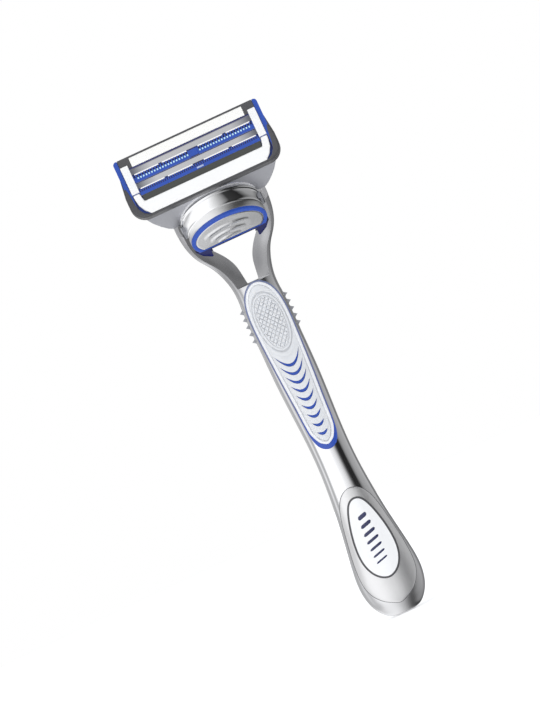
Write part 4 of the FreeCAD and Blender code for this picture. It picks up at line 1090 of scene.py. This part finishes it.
# the bumper's face laps over the housing's lower corners up to the white strip
lap = [(18.1, -2.2), (19.05, -0.75), (19.42, 0.9), (19.58, 2.6), (19.78, 4.4), (20.1, 5.6), (20.45, 5.4), (20.72, 3.0), (20.72, 0.4)]
lap += [(20.72 - 3.75 * (1 - math.cos(a)), 0.4 - 3.6 * math.sin(a)) for a in np.linspace(0.12, math.pi / 2, 9)] + [(16.5, -3.05)]
plate_piece("bumper_lap", lap, 4.5, 5.9, "rubber", 0.18)


def tube(name, path, radius, mat, body, sides=10):
    vs, fs = [], []
    n = len(path)
    for i, p in enumerate(path):
        t = (path[min(n - 1, i + 1)] - path[max(0, i - 1)]).normalized()
        a = t.cross(Vector((0.13, 1, 0.21))).normalized()
        b = t.cross(a)
        taper = min(1.0, 0.15 + 0.85 * min(i, n - 1 - i) / 6.0)
        vs += [tuple(p + (a * math.cos(u) + b * math.sin(u)) * radius * taper) for u in np.linspace(0, 2 * math.pi, sides, endpoint=False)]
    for i in range(n - 1):
        for j in range(sides):
            p, q = i * sides + j, i * sides + (j + 1) % sides
            fs.append((p, q, q + sides, p + sides))
    fs += [tuple(range(sides)), tuple((n - 1) * sides + j for j in reversed(range(sides)))]
    return make(name, vs, fs, mat, body, (), 60)


# a thin tube in the lighter yoke colour, a painted highlight along the hood arc
arc = [dock(10.55 * math.cos(u), 0.9 + 6.6 * math.sin(u), -4.72) for u in np.linspace(math.radians(2), math.radians(178), 90)]
tube("yoke_rim", arc, 0.34, "yoke_rim_highlight", "yoke")

# ------------------------------------------------------------------ floor, light, camera
bm = bmesh.new()
bmesh.ops.create_circle(bm, cap_ends=True, segments=96, radius=0.7)
me = bpy.data.meshes.new("floor")
bm.to_mesh(me)
bm.free()
floor = bpy.data.objects.new("floor", me)
floor.location = (0, 0, -0.0002)
scene.collection.objects.link(floor)
fm, nt, p = mat_new("floor_white")
co = node(nt, "ShaderNodeTexCoord")
nz = noise(nt, co.outputs["Object"], 25.0)
r = ramp(nt, nz.outputs["Fac"], [(0.3, (0.93, 0.935, 0.95)), (0.7, (0.96, 0.965, 0.98))])
nt.links.new(r.outputs["Color"], p.inputs["Base Color"])
p.inputs["Roughness"].default_value = 0.9
p.inputs["Specular IOR Level"].default_value = 0.0
p.inputs["Emission Color"].default_value = (1, 1, 1, 1)
p.inputs["Emission Strength"].default_value = 0.32
me.materials.append(fm)

world = bpy.data.worlds.new("studio")
scene.world = world
world.use_nodes = True
nt = world.node_tree
nt.nodes.clear()
out = node(nt, "ShaderNodeOutputWorld")
lp = node(nt, "ShaderNodeLightPath")
co = node(nt, "ShaderNodeTexCoord")
sx = node(nt, "ShaderNodeSeparateXYZ")
nt.links.new(co.outputs["Generated"], sx.inputs["Vector"])


def math_node(op, a, b=None):
    n = node(nt, "ShaderNodeMath", operation=op)
    for i, v in enumerate((a, b)):
        if v is None:
            continue
        if isinstance(v, (int, float)):
            n.inputs[i].default_value = v
        else:
            nt.links.new(v, n.inputs[i])
    return n.outputs[0]


# azimuth of a direction: 0 towards -Y (the front), +90 towards +X
az = math_node("ARCTAN2", sx.outputs["X"], math_node("MULTIPLY", sx.outputs["Y"], -1.0))
az01 = math_node("ADD", math_node("DIVIDE", az, 2 * math.pi), 0.5)


def grey(v):
    return (v, v, v * 1.01)


def at(deg):
    return (deg + 180.0) / 360.0


bands = ramp(nt, az01, [(at(-180), grey(0.16)), (at(-165), grey(0.4)), (at(-150), grey(0.6)), (at(-112), grey(0.45)), (at(-98), grey(0.7)), (at(-90), grey(0.95)), (at(-80), grey(0.66)), (at(-68), grey(0.42)), (at(-60), grey(0.85)),
                        (at(-54), grey(1.25)), (at(-8), grey(1.25)), (at(5), grey(0.75)), (at(15), grey(0.10)), (at(20), grey(0.02)), (at(37), grey(0.02)),
                        (at(45), grey(0.24)), (at(56), grey(0.36)), (at(82), grey(0.42)), (at(94), grey(0.45)), (at(108), grey(0.5)), (at(122), grey(0.2)), (at(150), grey(0.22)), (at(168), grey(0.3)), (at(180), grey(0.16))])
tops = ramp(nt, math_node("ADD", math_node("MULTIPLY", sx.outputs["X"], 0.5), 0.5),
            [(0.0, grey(0.7)), (0.12, grey(0.55)), (0.2, grey(1.1)), (0.42, grey(1.1)), (0.50, grey(0.62)), (0.60, grey(0.04)), (0.72, grey(0.02)), (0.80, grey(0.30)), (1.0, grey(0.42))])
mix = node(nt, "ShaderNodeMix", data_type="RGBA")
hi = node(nt, "ShaderNodeMapRange", interpolation_type="SMOOTHSTEP")
hi.inputs["From Min"].default_value, hi.inputs["From Max"].default_value = 0.2, 0.5
nt.links.new(math_node("ABSOLUTE", sx.outputs["Z"]), hi.inputs["Value"])
nt.links.new(hi.outputs["Result"], mix.inputs["Factor"])
nt.links.new(bands.outputs["Color"], mix.inputs[6])
nt.links.new(tops.outputs["Color"], mix.inputs[7])
glossy = node(nt, "ShaderNodeBackground")
nt.links.new(mix.outputs[2], glossy.inputs["Color"])
glossy.inputs["Strength"].default_value = 1.0
soft = node(nt, "ShaderNodeBackground")
soft.inputs["Color"].default_value = (0.97, 0.985, 1.0, 1)
soft.inputs["Strength"].default_value = 0.68
white = node(nt, "ShaderNodeBackground")
white.inputs["Color"].default_value = (1, 1, 1, 1)
m1 = node(nt, "ShaderNodeMixShader")
nt.links.new(lp.outputs["Is Glossy Ray"], m1.inputs["Fac"])
nt.links.new(soft.outputs[0], m1.inputs[1])
nt.links.new(glossy.outputs[0], m1.inputs[2])
m2 = node(nt, "ShaderNodeMixShader")
nt.links.new(lp.outputs["Is Camera Ray"], m2.inputs["Fac"])
nt.links.new(m1.outputs[0], m2.inputs[1])
nt.links.new(white.outputs[0], m2.inputs[2])
nt.links.new(m2.outputs[0], out.inputs["Surface"])


def area(name, loc, target, size, energy, size_y=None, color=(1, 1, 1)):
    li = bpy.data.lights.new(name, "AREA")
    li.energy = energy
    li.color = color
    li.size = size
    if size_y:
        li.shape = "RECTANGLE"
        li.size_y = size_y
    o = bpy.data.objects.new(name, li)
    o.location = loc
    o.rotation_mode = "QUATERNION"
    o.rotation_quaternion = (Vector(target) - Vector(loc)).to_track_quat("-Z", "Y")
    scene.collection.objects.link(o)
    return o


key = area("key", (-0.45, -0.55, 0.62), (0, 0, 0.07), 0.9, 2.5, 1.0)
fill = area("fill", (0.6, -0.5, 0.35), (0, 0, 0.07), 0.4, 0.8)
back = area("back", (0.25, 0.6, 0.55), (0, 0, 0.08), 0.5, 1.2)
for li in (key, fill, back):
    li.visible_glossy = False

# the head's cartridge and the floor stay out of the plated pieces' reflections, as in a lit studio tent
HIDE_REFLECTION = ("yoke", "housing", "bumper", "front_strip", "guard_band", "cap_", "skin_guard", "clip_", "blade_", "dock_body", "floor", "button_", "ejector", "plunger")
cam = bpy.data.cameras.new("camera")
camera = bpy.data.objects.new("camera", cam)
scene.collection.objects.link(camera)
scene.camera = camera
ROLL, DIST = math.radians(24.85), 2.5
ELEV = math.radians(1.6)
PX_PER_MM = 3.872
cam.sensor_width = 36.0
cam.lens = 36.0 * DIST * 1000 / (720 / PX_PER_MM)
fwd = Vector((0, math.cos(ELEV), -math.sin(ELEV)))
side0, up0 = Vector((1, 0, 0)), Vector((0, math.sin(ELEV), math.cos(ELEV)))
right = side0 * math.cos(ROLL) - up0 * math.sin(ROLL)
up = side0 * math.sin(ROLL) + up0 * math.cos(ROLL)
centre = Vector((0, -17.0, 130.5)) + right * ((270 - 195.66) / PX_PER_MM) - up * ((360 - 156.5) / PX_PER_MM)
rot = Matrix((right, up, -fwd)).transposed().to_4x4()
camera.matrix_world = Matrix.Translation(centre * MM - fwd * DIST) @ rot
cam.clip_start, cam.clip_end = 0.05, 20

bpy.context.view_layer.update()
for o in bpy.data.objects:
    if o.type == "MESH" and any(o.name.startswith(k) for k in HIDE_REFLECTION):
        o.visible_glossy = False
